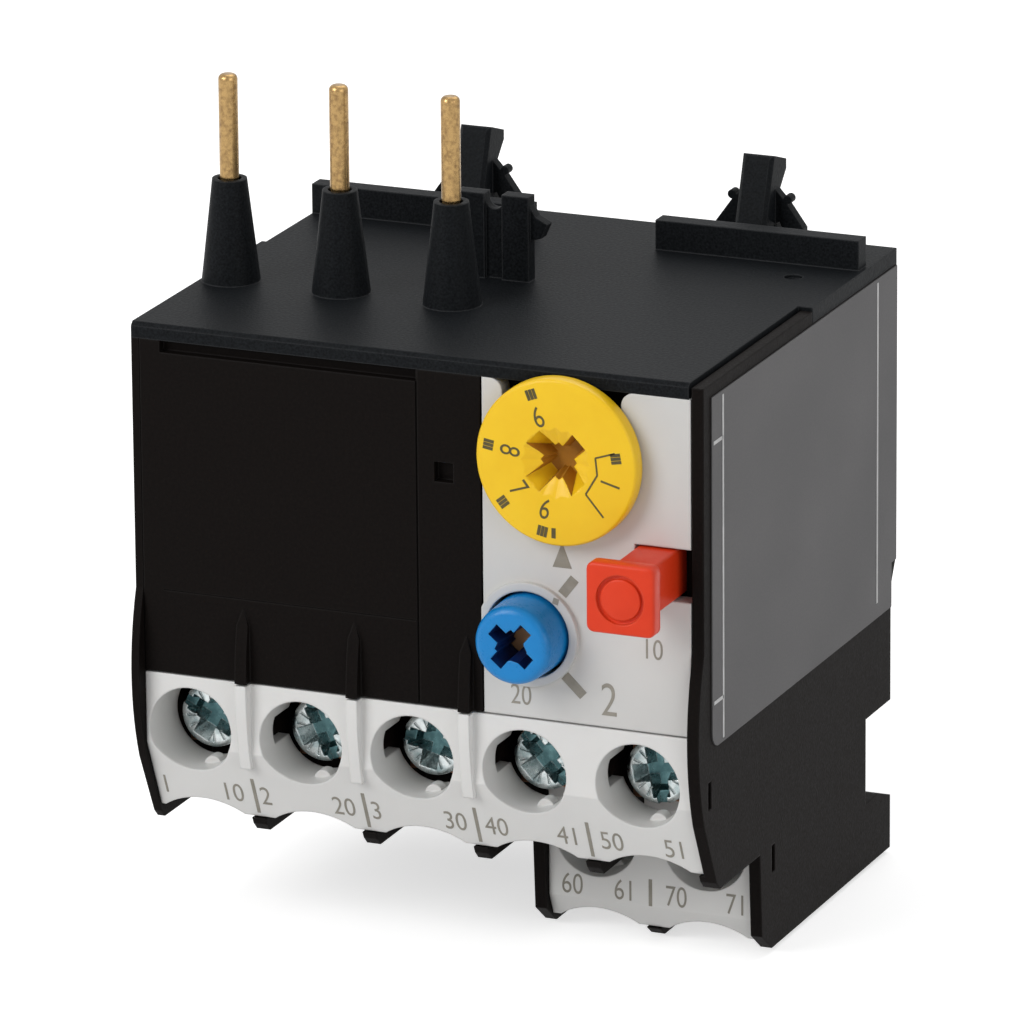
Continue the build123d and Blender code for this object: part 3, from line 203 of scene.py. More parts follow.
edgeTuning = {"radius": 0.00025, "samples": 6, "flat": 0.995, "sharp": 0.8}
mouldTuning = {
    "grain": (2.0, 0.55),  # a noise's detail and roughness
    "cloud": (4.0, 0.6),
    "cloudRange": (0.35, 0.7),
    "noiseRange": (0.3, 0.7),
    "slowRough": (-0.05, 0.06),
    "fastRough": (-0.04, 0.04),
}
metalTuning = {
    "streakDetail": 3.0,
    "patch": (3.0, 0.6),
    "dullRange": (0.42, 0.7),
    "noiseRange": (0.3, 0.7),
    "slowRough": (-0.03, 0.1),
    "fastRough": (-0.08, 0.08),
}
softReach = (0.0006, 0.0004, 0.0003)  # how far red, green and blue light spreads in light plastic


def groupNode(tree, kind, **values):
    node = tree.nodes.new(kind)
    for key, value in values.items():
        setattr(node, key, value)
    return node


def newEffect(name, inputs, outputs):
    effect = bpy.data.node_groups.new(name, "ShaderNodeTree")
    for label, kind, start in inputs:
        socket = effect.interface.new_socket(name=label, in_out="INPUT", socket_type="NodeSocket" + kind)
        socket.default_value = start
    for label, kind in outputs:
        effect.interface.new_socket(name=label, in_out="OUTPUT", socket_type="NodeSocket" + kind)
    enter = effect.nodes.new("NodeGroupInput")
    leave = effect.nodes.new("NodeGroupOutput")
    return effect, enter, leave


def noiseAt(tree, scaleSocket, detail, roughness):
    place = tree.nodes.new("ShaderNodeTexCoord")
    noise = tree.nodes.new("ShaderNodeTexNoise")
    noise.inputs["Detail"].default_value = detail
    noise.inputs["Roughness"].default_value = roughness
    tree.links.new(place.outputs["Object"], noise.inputs["Vector"])
    tree.links.new(scaleSocket, noise.inputs["Scale"])
    return noise


def rangeMap(tree, source, low, high, toLow, toHigh):
    step = tree.nodes.new("ShaderNodeMapRange")
    step.inputs["From Min"].default_value = low
    step.inputs["From Max"].default_value = high
    step.inputs["To Min"].default_value = toLow
    step.inputs["To Max"].default_value = toHigh
    tree.links.new(source, step.inputs["Value"])
    return step.outputs["Result"]


def mathStep(tree, operation, a, b):
    step = tree.nodes.new("ShaderNodeMath")
    step.operation = operation
    for socket, value in ((step.inputs[0], a), (step.inputs[1], b)):
        if isinstance(value, (int, float)):
            socket.default_value = value
        else:
            tree.links.new(value, socket)
    return step.outputs[0]


def mixColor(tree, amount, a, b):
    mix = tree.nodes.new("ShaderNodeMix")
    mix.data_type = "RGBA"
    tree.links.new(amount, mix.inputs["Factor"])
    for socket, value in ((mix.inputs["A"], a), (mix.inputs["B"], b)):
        if isinstance(value, tuple):
            socket.default_value = value
        else:
            tree.links.new(value, socket)
    return mix.outputs["Result"]


def roundedEdges():
    # rounds sharp moulded edges in the shading, and gives a mask of where they are
    effect, enter, leave = newEffect("roundedEdges", [("Radius", "Float", edgeTuning["radius"])],
                                     [("Normal", "Vector"), ("Edge", "Float")])
    bevel = groupNode(effect, "ShaderNodeBevel", samples=edgeTuning["samples"])
    effect.links.new(enter.outputs["Radius"], bevel.inputs["Radius"])
    plain = effect.nodes.new("ShaderNodeNewGeometry")
    dot = groupNode(effect, "ShaderNodeVectorMath", operation="DOT_PRODUCT")
    effect.links.new(bevel.outputs["Normal"], dot.inputs[0])
    effect.links.new(plain.outputs["Normal"], dot.inputs[1])
    edge = rangeMap(effect, dot.outputs["Value"], edgeTuning["flat"], edgeTuning["sharp"], 0.0, 1.0)
    effect.links.new(bevel.outputs["Normal"], leave.inputs["Normal"])
    effect.links.new(edge, leave.inputs["Edge"])
    return effect


def mouldGrain():
    # fine spark-eroded grain of moulded plastic, with a slow cloudiness of the surface
    effect, enter, leave = newEffect(
        "mouldGrain",
        [("Base", "Color", (0.5, 0.5, 0.5, 1)), ("Cloud", "Color", (0.4, 0.4, 0.4, 1)),
         ("Grain Size", "Float", 5200.0), ("Cloud Size", "Float", 160.0), ("Roughness", "Float", 0.5)],
        [("Color", "Color"), ("Roughness", "Float"), ("Height", "Float")])
    grain = noiseAt(effect, enter.outputs["Grain Size"], *mouldTuning["grain"])
    cloud = noiseAt(effect, enter.outputs["Cloud Size"], *mouldTuning["cloud"])
    cloudy = rangeMap(effect, cloud.outputs["Fac"], *mouldTuning["cloudRange"], 0.0, 1.0)
    color = mixColor(effect, cloudy, enter.outputs["Base"], enter.outputs["Cloud"])
    slow = rangeMap(effect, cloud.outputs["Fac"], *mouldTuning["noiseRange"], *mouldTuning["slowRough"])
    fast = rangeMap(effect, grain.outputs["Fac"], *mouldTuning["noiseRange"], *mouldTuning["fastRough"])
    rough = mathStep(effect, "ADD", mathStep(effect, "ADD", enter.outputs["Roughness"], slow), fast)
    effect.links.new(color, leave.inputs["Color"])
    effect.links.new(rough, leave.inputs["Roughness"])
    effect.links.new(grain.outputs["Fac"], leave.inputs["Height"])
    return effect


def metalStreaks():
    # drawn or rolled metal: long fine streaks with a few dull patches
    effect, enter, leave = newEffect(
        "metalStreaks",
        [("Base", "Color", (0.6, 0.6, 0.6, 1)), ("Dull", "Color", (0.4, 0.4, 0.4, 1)),
         ("Stretch", "Vector", (1.0, 1.0, 0.05)), ("Streak Size", "Float", 5000.0),
         ("Patch Size", "Float", 500.0), ("Roughness", "Float", 0.3)],
        [("Color", "Color"), ("Roughness", "Float"), ("Height", "Float")])
    place = effect.nodes.new("ShaderNodeTexCoord")
    pull = groupNode(effect, "ShaderNodeVectorMath", operation="MULTIPLY")
    effect.links.new(place.outputs["Object"], pull.inputs[0])
    effect.links.new(enter.outputs["Stretch"], pull.inputs[1])
    streak = effect.nodes.new("ShaderNodeTexNoise")
    streak.inputs["Detail"].default_value = metalTuning["streakDetail"]
    effect.links.new(pull.outputs[0], streak.inputs["Vector"])
    effect.links.new(enter.outputs["Streak Size"], streak.inputs["Scale"])
    patch = noiseAt(effect, enter.outputs["Patch Size"], *metalTuning["patch"])
    dulled = rangeMap(effect, patch.outputs["Fac"], *metalTuning["dullRange"], 0.0, 1.0)
    color = mixColor(effect, dulled, enter.outputs["Base"], enter.outputs["Dull"])
    fast = rangeMap(effect, streak.outputs["Fac"], *metalTuning["noiseRange"], *metalTuning["fastRough"])
    slow = rangeMap(effect, patch.outputs["Fac"], *metalTuning["noiseRange"], *metalTuning["slowRough"])
    rough = mathStep(effect, "ADD", mathStep(effect, "ADD", enter.outputs["Roughness"], slow), fast)
    effect.links.new(color, leave.inputs["Color"])
    effect.links.new(rough, leave.inputs["Roughness"])
    effect.links.new(streak.outputs["Fac"], leave.inputs["Height"])
    return effect


edgeEffect = roundedEdges()
grainEffect = mouldGrain()
streakEffect = metalStreaks()


def placeEffect(tree, effect, values):
    node = tree.nodes.new("ShaderNodeGroup")
    node.node_tree = effect
    for label, value in values.items():
        node.inputs[label].default_value = value
    return node


def opaque(color):
    return tuple(color) + (1.0,)


def startMaterial(name):
    material = bpy.data.materials.new(name)
    material.use_nodes = True
    tree = material.node_tree
    return material, tree, tree.nodes["Principled BSDF"]


def bumpFrom(tree, height, normal, distance, strength):
    bump = tree.nodes.new("ShaderNodeBump")
    bump.inputs["Distance"].default_value = distance
    bump.inputs["Strength"].default_value = strength
    tree.links.new(height, bump.inputs["Height"])
    tree.links.new(normal, bump.inputs["Normal"])
    return bump.outputs["Normal"]


def mouldedPlastic(look):
    material, tree, skin = startMaterial(look["name"])
    grain = placeEffect(tree, grainEffect, {
        "Base": opaque(look["base"]), "Cloud": opaque(look["cloud"]),
        "Grain Size": look["grainSize"], "Cloud Size": look["cloudSize"], "Roughness": look["roughness"]})
    edge = placeEffect(tree, edgeEffect, {"Radius": look["edgeRadius"]})
    # the rounded edges are mixed towards a lighter tone: partly edge wear, partly a painted highlight along
    # the edges
    litAndWornEdges = mixColor(tree, mathStep(tree, "MULTIPLY", edge.outputs["Edge"], look["rimWearAndHighlight"]),
                    grain.outputs["Color"], opaque(look["highlightAndWearTone"]))
    tree.links.new(litAndWornEdges, skin.inputs["Base Color"])
    tree.links.new(grain.outputs["Roughness"], skin.inputs["Roughness"])
    normal = bumpFrom(tree, grain.outputs["Height"], edge.outputs["Normal"],
                      look["grainDepth"], look["grainBump"])
    tree.links.new(normal, skin.inputs["Normal"])
    skin.inputs["Specular IOR Level"].default_value = look["gloss"]
    skin.inputs["Subsurface Weight"].default_value = look.get("softness", 0.0)
    skin.inputs["Subsurface Radius"].default_value = softReach
    return material


def metalSkin(look):
    material, tree, skin = startMaterial(look["name"])
    streaks = placeEffect(tree, streakEffect, {
        "Base": opaque(look["base"]), "Dull": opaque(look["dull"]), "Stretch": look["stretch"],
        "Streak Size": look["streakSize"], "Patch Size": look["patchSize"], "Roughness": look["roughness"]})
    edge = placeEffect(tree, edgeEffect, {"Radius": look["edgeRadius"]})
    tree.links.new(streaks.outputs["Color"], skin.inputs["Base Color"])
    tree.links.new(streaks.outputs["Roughness"], skin.inputs["Roughness"])
    normal = bumpFrom(tree, streaks.outputs["Height"], edge.outputs["Normal"],
                      look["streakDepth"], look["streakBump"])
    tree.links.new(normal, skin.inputs["Normal"])
    skin.inputs["Metallic"].default_value = look.get("metallic", 1.0)
    return material


plasticLooks = {
    "shell": {"name": "blackShell", "base": (0.0042, 0.0032, 0.0029), "cloud": (0.0066, 0.0051, 0.0045),
              "grainSize": 5200.0, "cloudSize": 3800.0, "roughness": 0.55, "edgeRadius": 0.0002,
              "rimWearAndHighlight": 0.4, "highlightAndWearTone": (0.026, 0.024, 0.023), "grainDepth": 0.00003, "grainBump": 0.45,
              "gloss": 0.04},
    # painted sheen: the cover's cloud is a lighter bluish grey, partly its own slate tone and partly a
    # painted sheen for the soft reflection of light from above
    "cover": {"name": "blackSheenCoverPlastic", "base": (0.0042, 0.0048, 0.0056), "cloud": (0.0125, 0.0142, 0.016),
              "grainSize": 4200.0, "cloudSize": 5600.0, "roughness": 0.5, "edgeRadius": 0.00018,
              "rimWearAndHighlight": 0.6, "highlightAndWearTone": (0.062, 0.064, 0.067), "grainDepth": 0.00004, "grainBump": 0.6,
              "gloss": 0.05},
    "grey": {"name": "lightGreyPlastic", "base": (0.72, 0.715, 0.70), "cloud": (0.69, 0.685, 0.672),
             "grainSize": 5200.0, "cloudSize": 150.0, "roughness": 0.42, "edgeRadius": 0.00022,
             "rimWearAndHighlight": 0.25, "highlightAndWearTone": (0.8, 0.8, 0.79), "grainDepth": 0.000012, "grainBump": 0.2,
             "gloss": 0.45, "softness": 0.04},
    "panel": {"name": "panelGreyPlastic", "base": (0.60, 0.596, 0.58), "cloud": (0.575, 0.57, 0.556),
              "grainSize": 5200.0, "cloudSize": 150.0, "roughness": 0.42, "edgeRadius": 0.00022,
              "rimWearAndHighlight": 0.25, "highlightAndWearTone": (0.68, 0.68, 0.67), "grainDepth": 0.000012, "grainBump": 0.2,
              "gloss": 0.4, "softness": 0.04},
    "yellow": {"name": "yellowPlastic", "base": (0.90, 0.57, 0.012), "cloud": (0.86, 0.525, 0.01),
               "grainSize": 4200.0, "cloudSize": 300.0, "roughness": 0.36, "edgeRadius": 0.0002,
               "rimWearAndHighlight": 0.2, "highlightAndWearTone": (0.93, 0.64, 0.06), "grainDepth": 0.00001, "grainBump": 0.15,
               "gloss": 0.32, "softness": 0.05},
    "blue": {"name": "bluePlastic", "base": (0.004, 0.20, 0.53), "cloud": (0.006, 0.23, 0.59),
             "grainSize": 4200.0, "cloudSize": 350.0, "roughness": 0.3, "edgeRadius": 0.00022,
             "rimWearAndHighlight": 0.25, "highlightAndWearTone": (0.03, 0.27, 0.65), "grainDepth": 0.00001, "grainBump": 0.15,
             "gloss": 0.3, "softness": 0.05},
    "red": {"name": "redPlastic", "base": (0.73, 0.046, 0.01), "cloud": (0.68, 0.038, 0.008),
            "grainSize": 4200.0, "cloudSize": 350.0, "roughness": 0.36, "edgeRadius": 0.0002,
            "rimWearAndHighlight": 0.25, "highlightAndWearTone": (0.9, 0.13, 0.04), "grainDepth": 0.00001, "grainBump": 0.15,
            "gloss": 0.25, "softness": 0.05},
    "brown": {"name": "brownThermoset", "base": (0.10, 0.045, 0.022), "cloud": (0.14, 0.065, 0.03),
              "grainSize": 3600.0, "cloudSize": 260.0, "roughness": 0.5, "edgeRadius": 0.00015,
              "rimWearAndHighlight": 0.3, "highlightAndWearTone": (0.22, 0.12, 0.07), "grainDepth": 0.00002, "grainBump": 0.3,
              "gloss": 0.4},
    "copperTone": {"name": "copperTonePlastic", "base": (0.42, 0.2, 0.08), "cloud": (0.5, 0.26, 0.11),
                   "grainSize": 3600.0, "cloudSize": 260.0, "roughness": 0.4, "edgeRadius": 0.00015,
                   "rimWearAndHighlight": 0.3, "highlightAndWearTone": (0.6, 0.35, 0.18), "grainDepth": 0.00002, "grainBump": 0.3,
                   "gloss": 0.5},
    "ink": {"name": "greyInk", "base": (0.24, 0.225, 0.19), "cloud": (0.31, 0.29, 0.25),
            "grainSize": 6000.0, "cloudSize": 900.0, "roughness": 0.55, "edgeRadius": 0.00002,
            "rimWearAndHighlight": 0.3, "highlightAndWearTone": (0.34, 0.32, 0.28), "grainDepth": 0.000003, "grainBump": 0.2,
            "gloss": 0.3},
    "darkInk": {"name": "oliveInk", "base": (0.075, 0.06, 0.02), "cloud": (0.11, 0.085, 0.03),
                "grainSize": 6000.0, "cloudSize": 1200.0, "roughness": 0.5, "edgeRadius": 0.00002,
                "rimWearAndHighlight": 0.3, "highlightAndWearTone": (0.2, 0.16, 0.05), "grainDepth": 0.000003, "grainBump": 0.2,
                "gloss": 0.3},
    "paleInk": {"name": "paleInk", "base": (0.62, 0.62, 0.62), "cloud": (0.52, 0.52, 0.52),
                "grainSize": 6000.0, "cloudSize": 900.0, "roughness": 0.55, "edgeRadius": 0.00002,
                "rimWearAndHighlight": 0.2, "highlightAndWearTone": (0.5, 0.5, 0.5), "grainDepth": 0.000003, "grainBump": 0.2,
                "gloss": 0.3},
    # painted shade: a darker, browner copy of the yellow, for the deep walls and floor of the dial's recess
    "amber": {"name": "amberShade", "base": (0.46, 0.21, 0.02), "cloud": (0.36, 0.155, 0.016),
              "grainSize": 4200.0, "cloudSize": 600.0, "roughness": 0.5, "edgeRadius": 0.0001,
              "rimWearAndHighlight": 0.3, "highlightAndWearTone": (0.6, 0.33, 0.03), "grainDepth": 0.00001, "grainBump": 0.2,
              "gloss": 0.2},
    # painted shade: a darker copy of the blue, for the deep walls and floor of the knob's recess
    "navy": {"name": "navyShade", "base": (0.002, 0.012, 0.08), "cloud": (0.003, 0.03, 0.14),
             "grainSize": 4200.0, "cloudSize": 700.0, "roughness": 0.45, "edgeRadius": 0.0001,
             "rimWearAndHighlight": 0.3, "highlightAndWearTone": (0.01, 0.1, 0.35), "grainDepth": 0.00001, "grainBump": 0.2,
             "gloss": 0.2},
    "film": {"name": "greyFilm", "base": (0.088, 0.085, 0.087), "cloud": (0.10, 0.098, 0.10),
             "grainSize": 7000.0, "cloudSize": 90.0, "roughness": 0.5, "edgeRadius": 0.00004,
             "rimWearAndHighlight": 0.3, "highlightAndWearTone": (0.15, 0.15, 0.15), "grainDepth": 0.000008, "grainBump": 0.2,
             "gloss": 0.16},
}

metalLooks = {
    "brass": {"name": "turnedBrass", "base": (0.43, 0.275, 0.11), "dull": (0.24, 0.145, 0.06),
              "stretch": (1.0, 1.0, 0.06), "streakSize": 5200.0, "patchSize": 2600.0, "roughness": 0.24,
              "edgeRadius": 0.00012, "streakDepth": 0.000006, "streakBump": 0.5, "metallic": 0.82},
    "zinc": {"name": "zincPlate", "base": (0.58, 0.62, 0.62), "dull": (0.26, 0.34, 0.35),
             "stretch": (1.0, 1.0, 1.0), "streakSize": 2600.0, "patchSize": 900.0, "roughness": 0.22,
             "edgeRadius": 0.00012, "streakDepth": 0.00001, "streakBump": 0.4},
    # painted shade: a darker copy of the zinc, for the walls and floor of the screw recesses
    "teal": {"name": "zincInShade", "base": (0.10, 0.19, 0.20), "dull": (0.045, 0.10, 0.11),
             "stretch": (1.0, 1.0, 1.0), "streakSize": 2600.0, "patchSize": 1100.0, "roughness": 0.28,
             "edgeRadius": 0.00012, "streakDepth": 0.00001, "streakBump": 0.4},
    "steel": {"name": "rolledSteel", "base": (0.56, 0.56, 0.57), "dull": (0.42, 0.42, 0.43),
              "stretch": (1.0, 1.0, 0.08), "streakSize": 4200.0, "patchSize": 500.0, "roughness": 0.3,
              "edgeRadius": 0.0001, "streakDepth": 0.000006, "streakBump": 0.4},
    "wire": {"name": "springWire", "base": (0.6, 0.6, 0.62), "dull": (0.45, 0.45, 0.47),
             "stretch": (1.0, 1.0, 1.0), "streakSize": 5200.0, "patchSize": 700.0, "roughness": 0.25,
             "edgeRadius": 0.00005, "streakDepth": 0.000004, "streakBump": 0.3},
    "copper": {"name": "rolledCopper", "base": (0.50, 0.26, 0.15), "dull": (0.34, 0.17, 0.1),
               "stretch": (1.0, 1.0, 0.08), "streakSize": 4200.0, "patchSize": 420.0, "roughness": 0.3,
               "edgeRadius": 0.0001, "streakDepth": 0.000006, "streakBump": 0.4},
}

finishes = {key: mouldedPlastic(look) for key, look in plasticLooks.items()}
finishes.update({key: metalSkin(look) for key, look in metalLooks.items()})
print("finishes made:", len(finishes))


def dress(piece, finish):
    piece.data.materials.clear()
    piece.data.materials.append(finishes[finish])


nodeFinish = {
    "shell": ["housing", "front_cover", "mechanism_frame"],
    # the hooks take the cover's finish, whose painted sheen stands in for the highlights on their faces
    "cover": ["top_cover", "contactor_hook_left", "contactor_hook_right"],
    "grey": ["upper_terminal_strip", "lower_terminal_strip"],
    "panel": ["faceplate"],
    "film": ["side_label"],
    "yellow": ["setting_dial"],
    "blue": ["reset_knob"],
    "red": ["test_button"],
    "copperTone": ["reset_plunger"],
    "brown": ["trip_slider", "trip_lever", "contact_carrier", "dial_shaft"],
    "wire": ["reset_spring", "test_spring", "carrier_spring"],
    "steel": ["setting_lever", "setting_pivot", "bimetal_strip_", "heater_winding_"],
    "copper": ["load_terminal_", "no_contact_bridge", "nc_contact_bridge", "no_upper_contact",
               "nc_upper_contact", "no_lower_contact", "nc_lower_contact"],
    "brass": ["main_pin_"],
    "zinc": ["terminal_screw_", "clamp_washer_"],
}

for finish, starts in nodeFinish.items():
    for name, piece in nodes.items():
        if any(name == start or (start.endswith("_") and name.startswith(start)) for start in starts):
            dress(piece, finish)
bare = [name for name, piece in nodes.items() if piece.active_material not in finishes.values()]
print("nodes dressed, without a finish:", bare)


# modelling helpers: sizes are in mm, angles in degrees, and a lap is how far a tool reaches past a face

hair = 0.01 * mm  # how far off a level a corner may lie
weldGap = 0.0005 * mm
straightAhead = -0.99  # a face whose normal's y is below this looks to the front
lookingBack = 0.5  # and above this, to the back


def onlySelect(piece):
    bpy.ops.object.select_all(action="DESELECT")
    piece.select_set(True)
    bpy.context.view_layer.objects.active = piece


def settle(name):
    # the new primitive's place, turn and scale go into its mesh
    piece = bpy.context.object
    piece.name = name
    bpy.ops.object.transform_apply(location=True, rotation=True, scale=True)
    return piece


def addRod(name, radius, front, back, sides=64):
    # a round bar about the Y axis
    bpy.ops.object.select_all(action="DESELECT")
    bpy.ops.mesh.primitive_cylinder_add(vertices=sides, radius=radius * mm, depth=(back - front) * mm,
                                        location=(0, (front + back) / 2 * mm, 0),
                                        rotation=(math.pi / 2, 0, 0))
    return settle(name)


def addBar(name, width, height, front, back, turn=0.0):
    # a square bar along the Y axis, turned about it
    bpy.ops.object.select_all(action="DESELECT")
    bpy.ops.mesh.primitive_cube_add(size=1, location=(0, (front + back) / 2 * mm, 0),
                                    rotation=(0, math.radians(turn), 0),
                                    scale=(width * mm, (back - front) * mm, height * mm))
    return settle(name)


def pick(piece, kind, test):
    # opens the piece in edit mode with only what passes the test selected
    onlySelect(piece)
    bpy.ops.object.mode_set(mode="EDIT")
    bpy.ops.mesh.select_mode(type=kind)
    bpy.ops.mesh.select_all(action="DESELECT")
    bpy.ops.object.mode_set(mode="OBJECT")
    mesh = piece.data
    if kind == "FACE":
        for face in mesh.polygons:
            face.select = test(face.center, face.normal)
    elif kind == "EDGE":
        for edge in mesh.edges:
            edge.select = test(*[mesh.vertices[i].co for i in edge.vertices])
    else:
        for vertex in mesh.vertices:
            vertex.select = test(vertex.co)
    bpy.ops.object.mode_set(mode="EDIT")


def leaveEdit():
    bpy.ops.object.mode_set(mode="OBJECT")


def roundRim(piece, level, offset, segments=3):
    # rounds the edges of the flat end that lies at this depth
    pick(piece, "EDGE", lambda a, b: abs(a.y - level * mm) < hair and abs(b.y - level * mm) < hair)
    bpy.ops.mesh.bevel(offset=offset * mm, segments=segments, affect="EDGES")
    leaveEdit()


def roundSides(piece, offset, segments=4):
    # rounds the edges that run front to back
    pick(piece, "EDGE", lambda a, b: abs(a.y - b.y) > hair)
    bpy.ops.mesh.bevel(offset=offset * mm, segments=segments, affect="EDGES")
    leaveEdit()


def resizeEnd(piece, level, share):
    # narrows the end of a tool that lies at this depth
    pick(piece, "VERT", lambda spot: abs(spot.y - level * mm) < hair)
    bpy.ops.transform.resize(value=(share, 1, share), center_override=(0, level * mm, 0))
    leaveEdit()


def combine(piece, tool, operation="DIFFERENCE"):
    step = piece.modifiers.new("combine", "BOOLEAN")
    step.operation = operation
    step.solver = "EXACT"
    step.object = tool
    onlySelect(piece)
    bpy.ops.object.modifier_apply(modifier=step.name)
    bpy.data.objects.remove(tool, do_unlink=True)


def pleatedCone(name, mouth, throat, front, back, folds, share):
    # a funnel tool with pleats: every second corner of its round is drawn in by the share
    bpy.ops.object.select_all(action="DESELECT")
    bpy.ops.mesh.primitive_cone_add(vertices=2 * folds, radius1=throat * mm, radius2=mouth * mm,
                                    depth=(back - front) * mm, location=(0, (front + back) / 2 * mm, 0),
                                    rotation=(math.pi / 2, 0, 0))
    tool = settle(name)
    step = math.pi / folds

    def second(spot):
        angle = math.atan2(spot.x, spot.z) / step
        return round(angle) % 2 == 1

    pick(tool, "VERT", second)
    bpy.ops.transform.resize(value=(share, 1, share), center_override=(0, 0, 0))
    leaveEdit()
    return tool


def crossTool(name, reach, width, front, back, share, turn):
    # two crossing bars that taper towards the back, to cut a blunt cross recess
    tool = addBar(name, 2 * reach, width, front, back)
    resizeEnd(tool, back, share)
    other = addBar(name + "Other", width, 2 * reach, front, back)
    resizeEnd(other, back, share)
    combine(tool, other, "UNION")
    tool.data.transform(Matrix.Rotation(math.radians(turn), 4, "Y"))
    return tool


def joinAll(pieces):
    onlySelect(pieces[0])
    for piece in pieces[1:]:
        piece.select_set(True)
    bpy.ops.object.join()
    return bpy.context.object


def soften(piece, degrees):
    onlySelect(piece)
    bpy.ops.object.shade_smooth_by_angle(angle=math.radians(degrees))


def outwards(piece):
    onlySelect(piece)
    bpy.ops.object.mode_set(mode="EDIT")
    bpy.ops.mesh.select_all(action="SELECT")
    bpy.ops.mesh.remove_doubles(threshold=weldGap)
    bpy.ops.mesh.normals_make_consistent(inside=False)
    leaveEdit()


def frontSpot(node):
    # middle of a CAD node's front end
    low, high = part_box(node)
    return Vector(((low[0] + high[0]) / 2, low[1], (low[2] + high[2]) / 2))


def putAt(piece, spot, turn=0.0):
    piece.data.transform(Matrix.Translation(spot) @ Matrix.Rotation(math.radians(turn), 4, "Y"))
    piece.data.update()


def standIn(piece, node, body, finish):
    dress(piece, finish)
    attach(piece, body)
    if node:
        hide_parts(node)


def paintRecessShade(piece, finish, spot, reach, near, far):
    # painted shade: the walls and floor of a recess about this spot, between two depths, get a darker
    # finish of their own that stands in for the shade inside the recess
    piece.data.materials.append(finishes[finish])
    for face in piece.data.polygons:
        depth = face.center.y - spot.y
        away = math.hypot(face.center.x - spot.x, face.center.z - spot.z)
        if near * mm < depth < far * mm and away < reach * mm and face.normal.y < lookingBack:
            face.material_index = 1


# terminal screws

screwShape = {
    "headSides": 72,
    "headRadius": 2.5,
    "headThick": 1.9,
    "rimRound": 0.35,
    "flatInset": 0.12,
    "wedgeRing": 0.75,
    "wedgeDepth": 0.16,
    "wedgeAngles": [(28, 36), (54, 62)],
    "slotLength": 6.0,
    "slotWidth": 0.8,
    "slotDepth": 0.7,
    "slotLap": 1.0,
    "armWidth": 1.45,
    "armLength": 4.1,
    "armDepth": 1.35,
    "armNarrow": 0.62,
    "armLap": 0.2,
    "coreSides": 32,
    "coreRadius": 1.2,
    "coreLap": 0.1,
    "tipRound": 0.4,
    "threadSteps": 20,
    "threadRadius": 0.26,
    "threadMiddle": 1.22,
    "pitch": 0.5,
    "threadStart": 0.2,
    "threadShort": 0.7,
    "smooth": 30,
    "shade": (2.42, 0.3, 1.6),  # reach, and the two depths
    "turns": [28, 66, 12, 47, 80, 35, 58],
}


def wedgeMarks(head, shape):
    # fine radial marks pressed into the head round its recess
    pick(head, "FACE", lambda middle, normal: normal.y < straightAhead)
    bpy.ops.mesh.inset(thickness=shape["flatInset"] * mm)
    bpy.ops.mesh.inset(thickness=shape["wedgeRing"] * mm)
    leaveEdit()
    inner = shape["headRadius"] - shape["rimRound"] - shape["flatInset"] - shape["wedgeRing"]

    def marked(middle, normal):
        reach = math.hypot(middle.x, middle.z)
        part = math.degrees(math.atan2(middle.x, middle.z)) % 90
        outer = inner + shape["wedgeRing"]
        onRing = inner * mm < reach < outer * mm and normal.y < straightAhead
        return onRing and any(low < part < high for low, high in shape["wedgeAngles"])

    pick(head, "FACE", marked)
    bpy.ops.mesh.extrude_region_move(TRANSFORM_OT_translate={"value": (0, shape["wedgeDepth"] * mm, 0)})
    leaveEdit()


def windUp(name, sides, radius, middle, start, pitch, turns, steps):
    # a small round or three-cornered section wound about the Y axis, closed at both ends
    bpy.ops.object.select_all(action="DESELECT")
    bpy.ops.mesh.primitive_circle_add(vertices=sides, radius=radius * mm,
                                      location=(middle * mm, start * mm, 0), rotation=(0, 0, -math.pi / 2))
    winding = settle(name)
    wind = winding.modifiers.new("wind", "SCREW")
    wind.axis = "Y"
    wind.screw_offset = pitch * mm
    wind.iterations = turns
    wind.steps = steps
    wind.render_steps = steps
    onlySelect(winding)
    bpy.ops.object.modifier_apply(modifier=wind.name)
    bpy.ops.object.mode_set(mode="EDIT")
    bpy.ops.mesh.select_all(action="SELECT")
    bpy.ops.mesh.fill_holes(sides=sides)
    leaveEdit()
    outwards(winding)
    return winding


def threadRidge(shape, start, length):
    turns = int(length / shape["pitch"])
    return windUp("threadRidge", 3, shape["threadRadius"], shape["threadMiddle"], start, shape["pitch"],
                  turns, shape["threadSteps"])


def makeScrew(shape, length):
    head = addRod("screwHead", shape["headRadius"], 0, shape["headThick"], sides=shape["headSides"])
    roundRim(head, 0, shape["rimRound"])
    wedgeMarks(head, shape)
    combine(head, addBar("slot", shape["slotLength"], shape["slotWidth"], -shape["slotLap"],
                         shape["slotDepth"]))
    for turn in (0, 90):
        arm = addBar("arm", shape["armLength"], shape["armWidth"], -shape["armLap"], shape["armDepth"],
                     turn)
        resizeEnd(arm, shape["armDepth"], shape["armNarrow"])
        combine(head, arm)
    core = addRod("core", shape["coreRadius"], shape["headThick"] - shape["coreLap"], length,
                  sides=shape["coreSides"])
    roundRim(core, length, shape["tipRound"], 2)
    ridge = threadRidge(shape, shape["headThick"] + shape["threadStart"],
                        length - shape["headThick"] - shape["threadShort"])
    return joinAll([head, core, ridge])


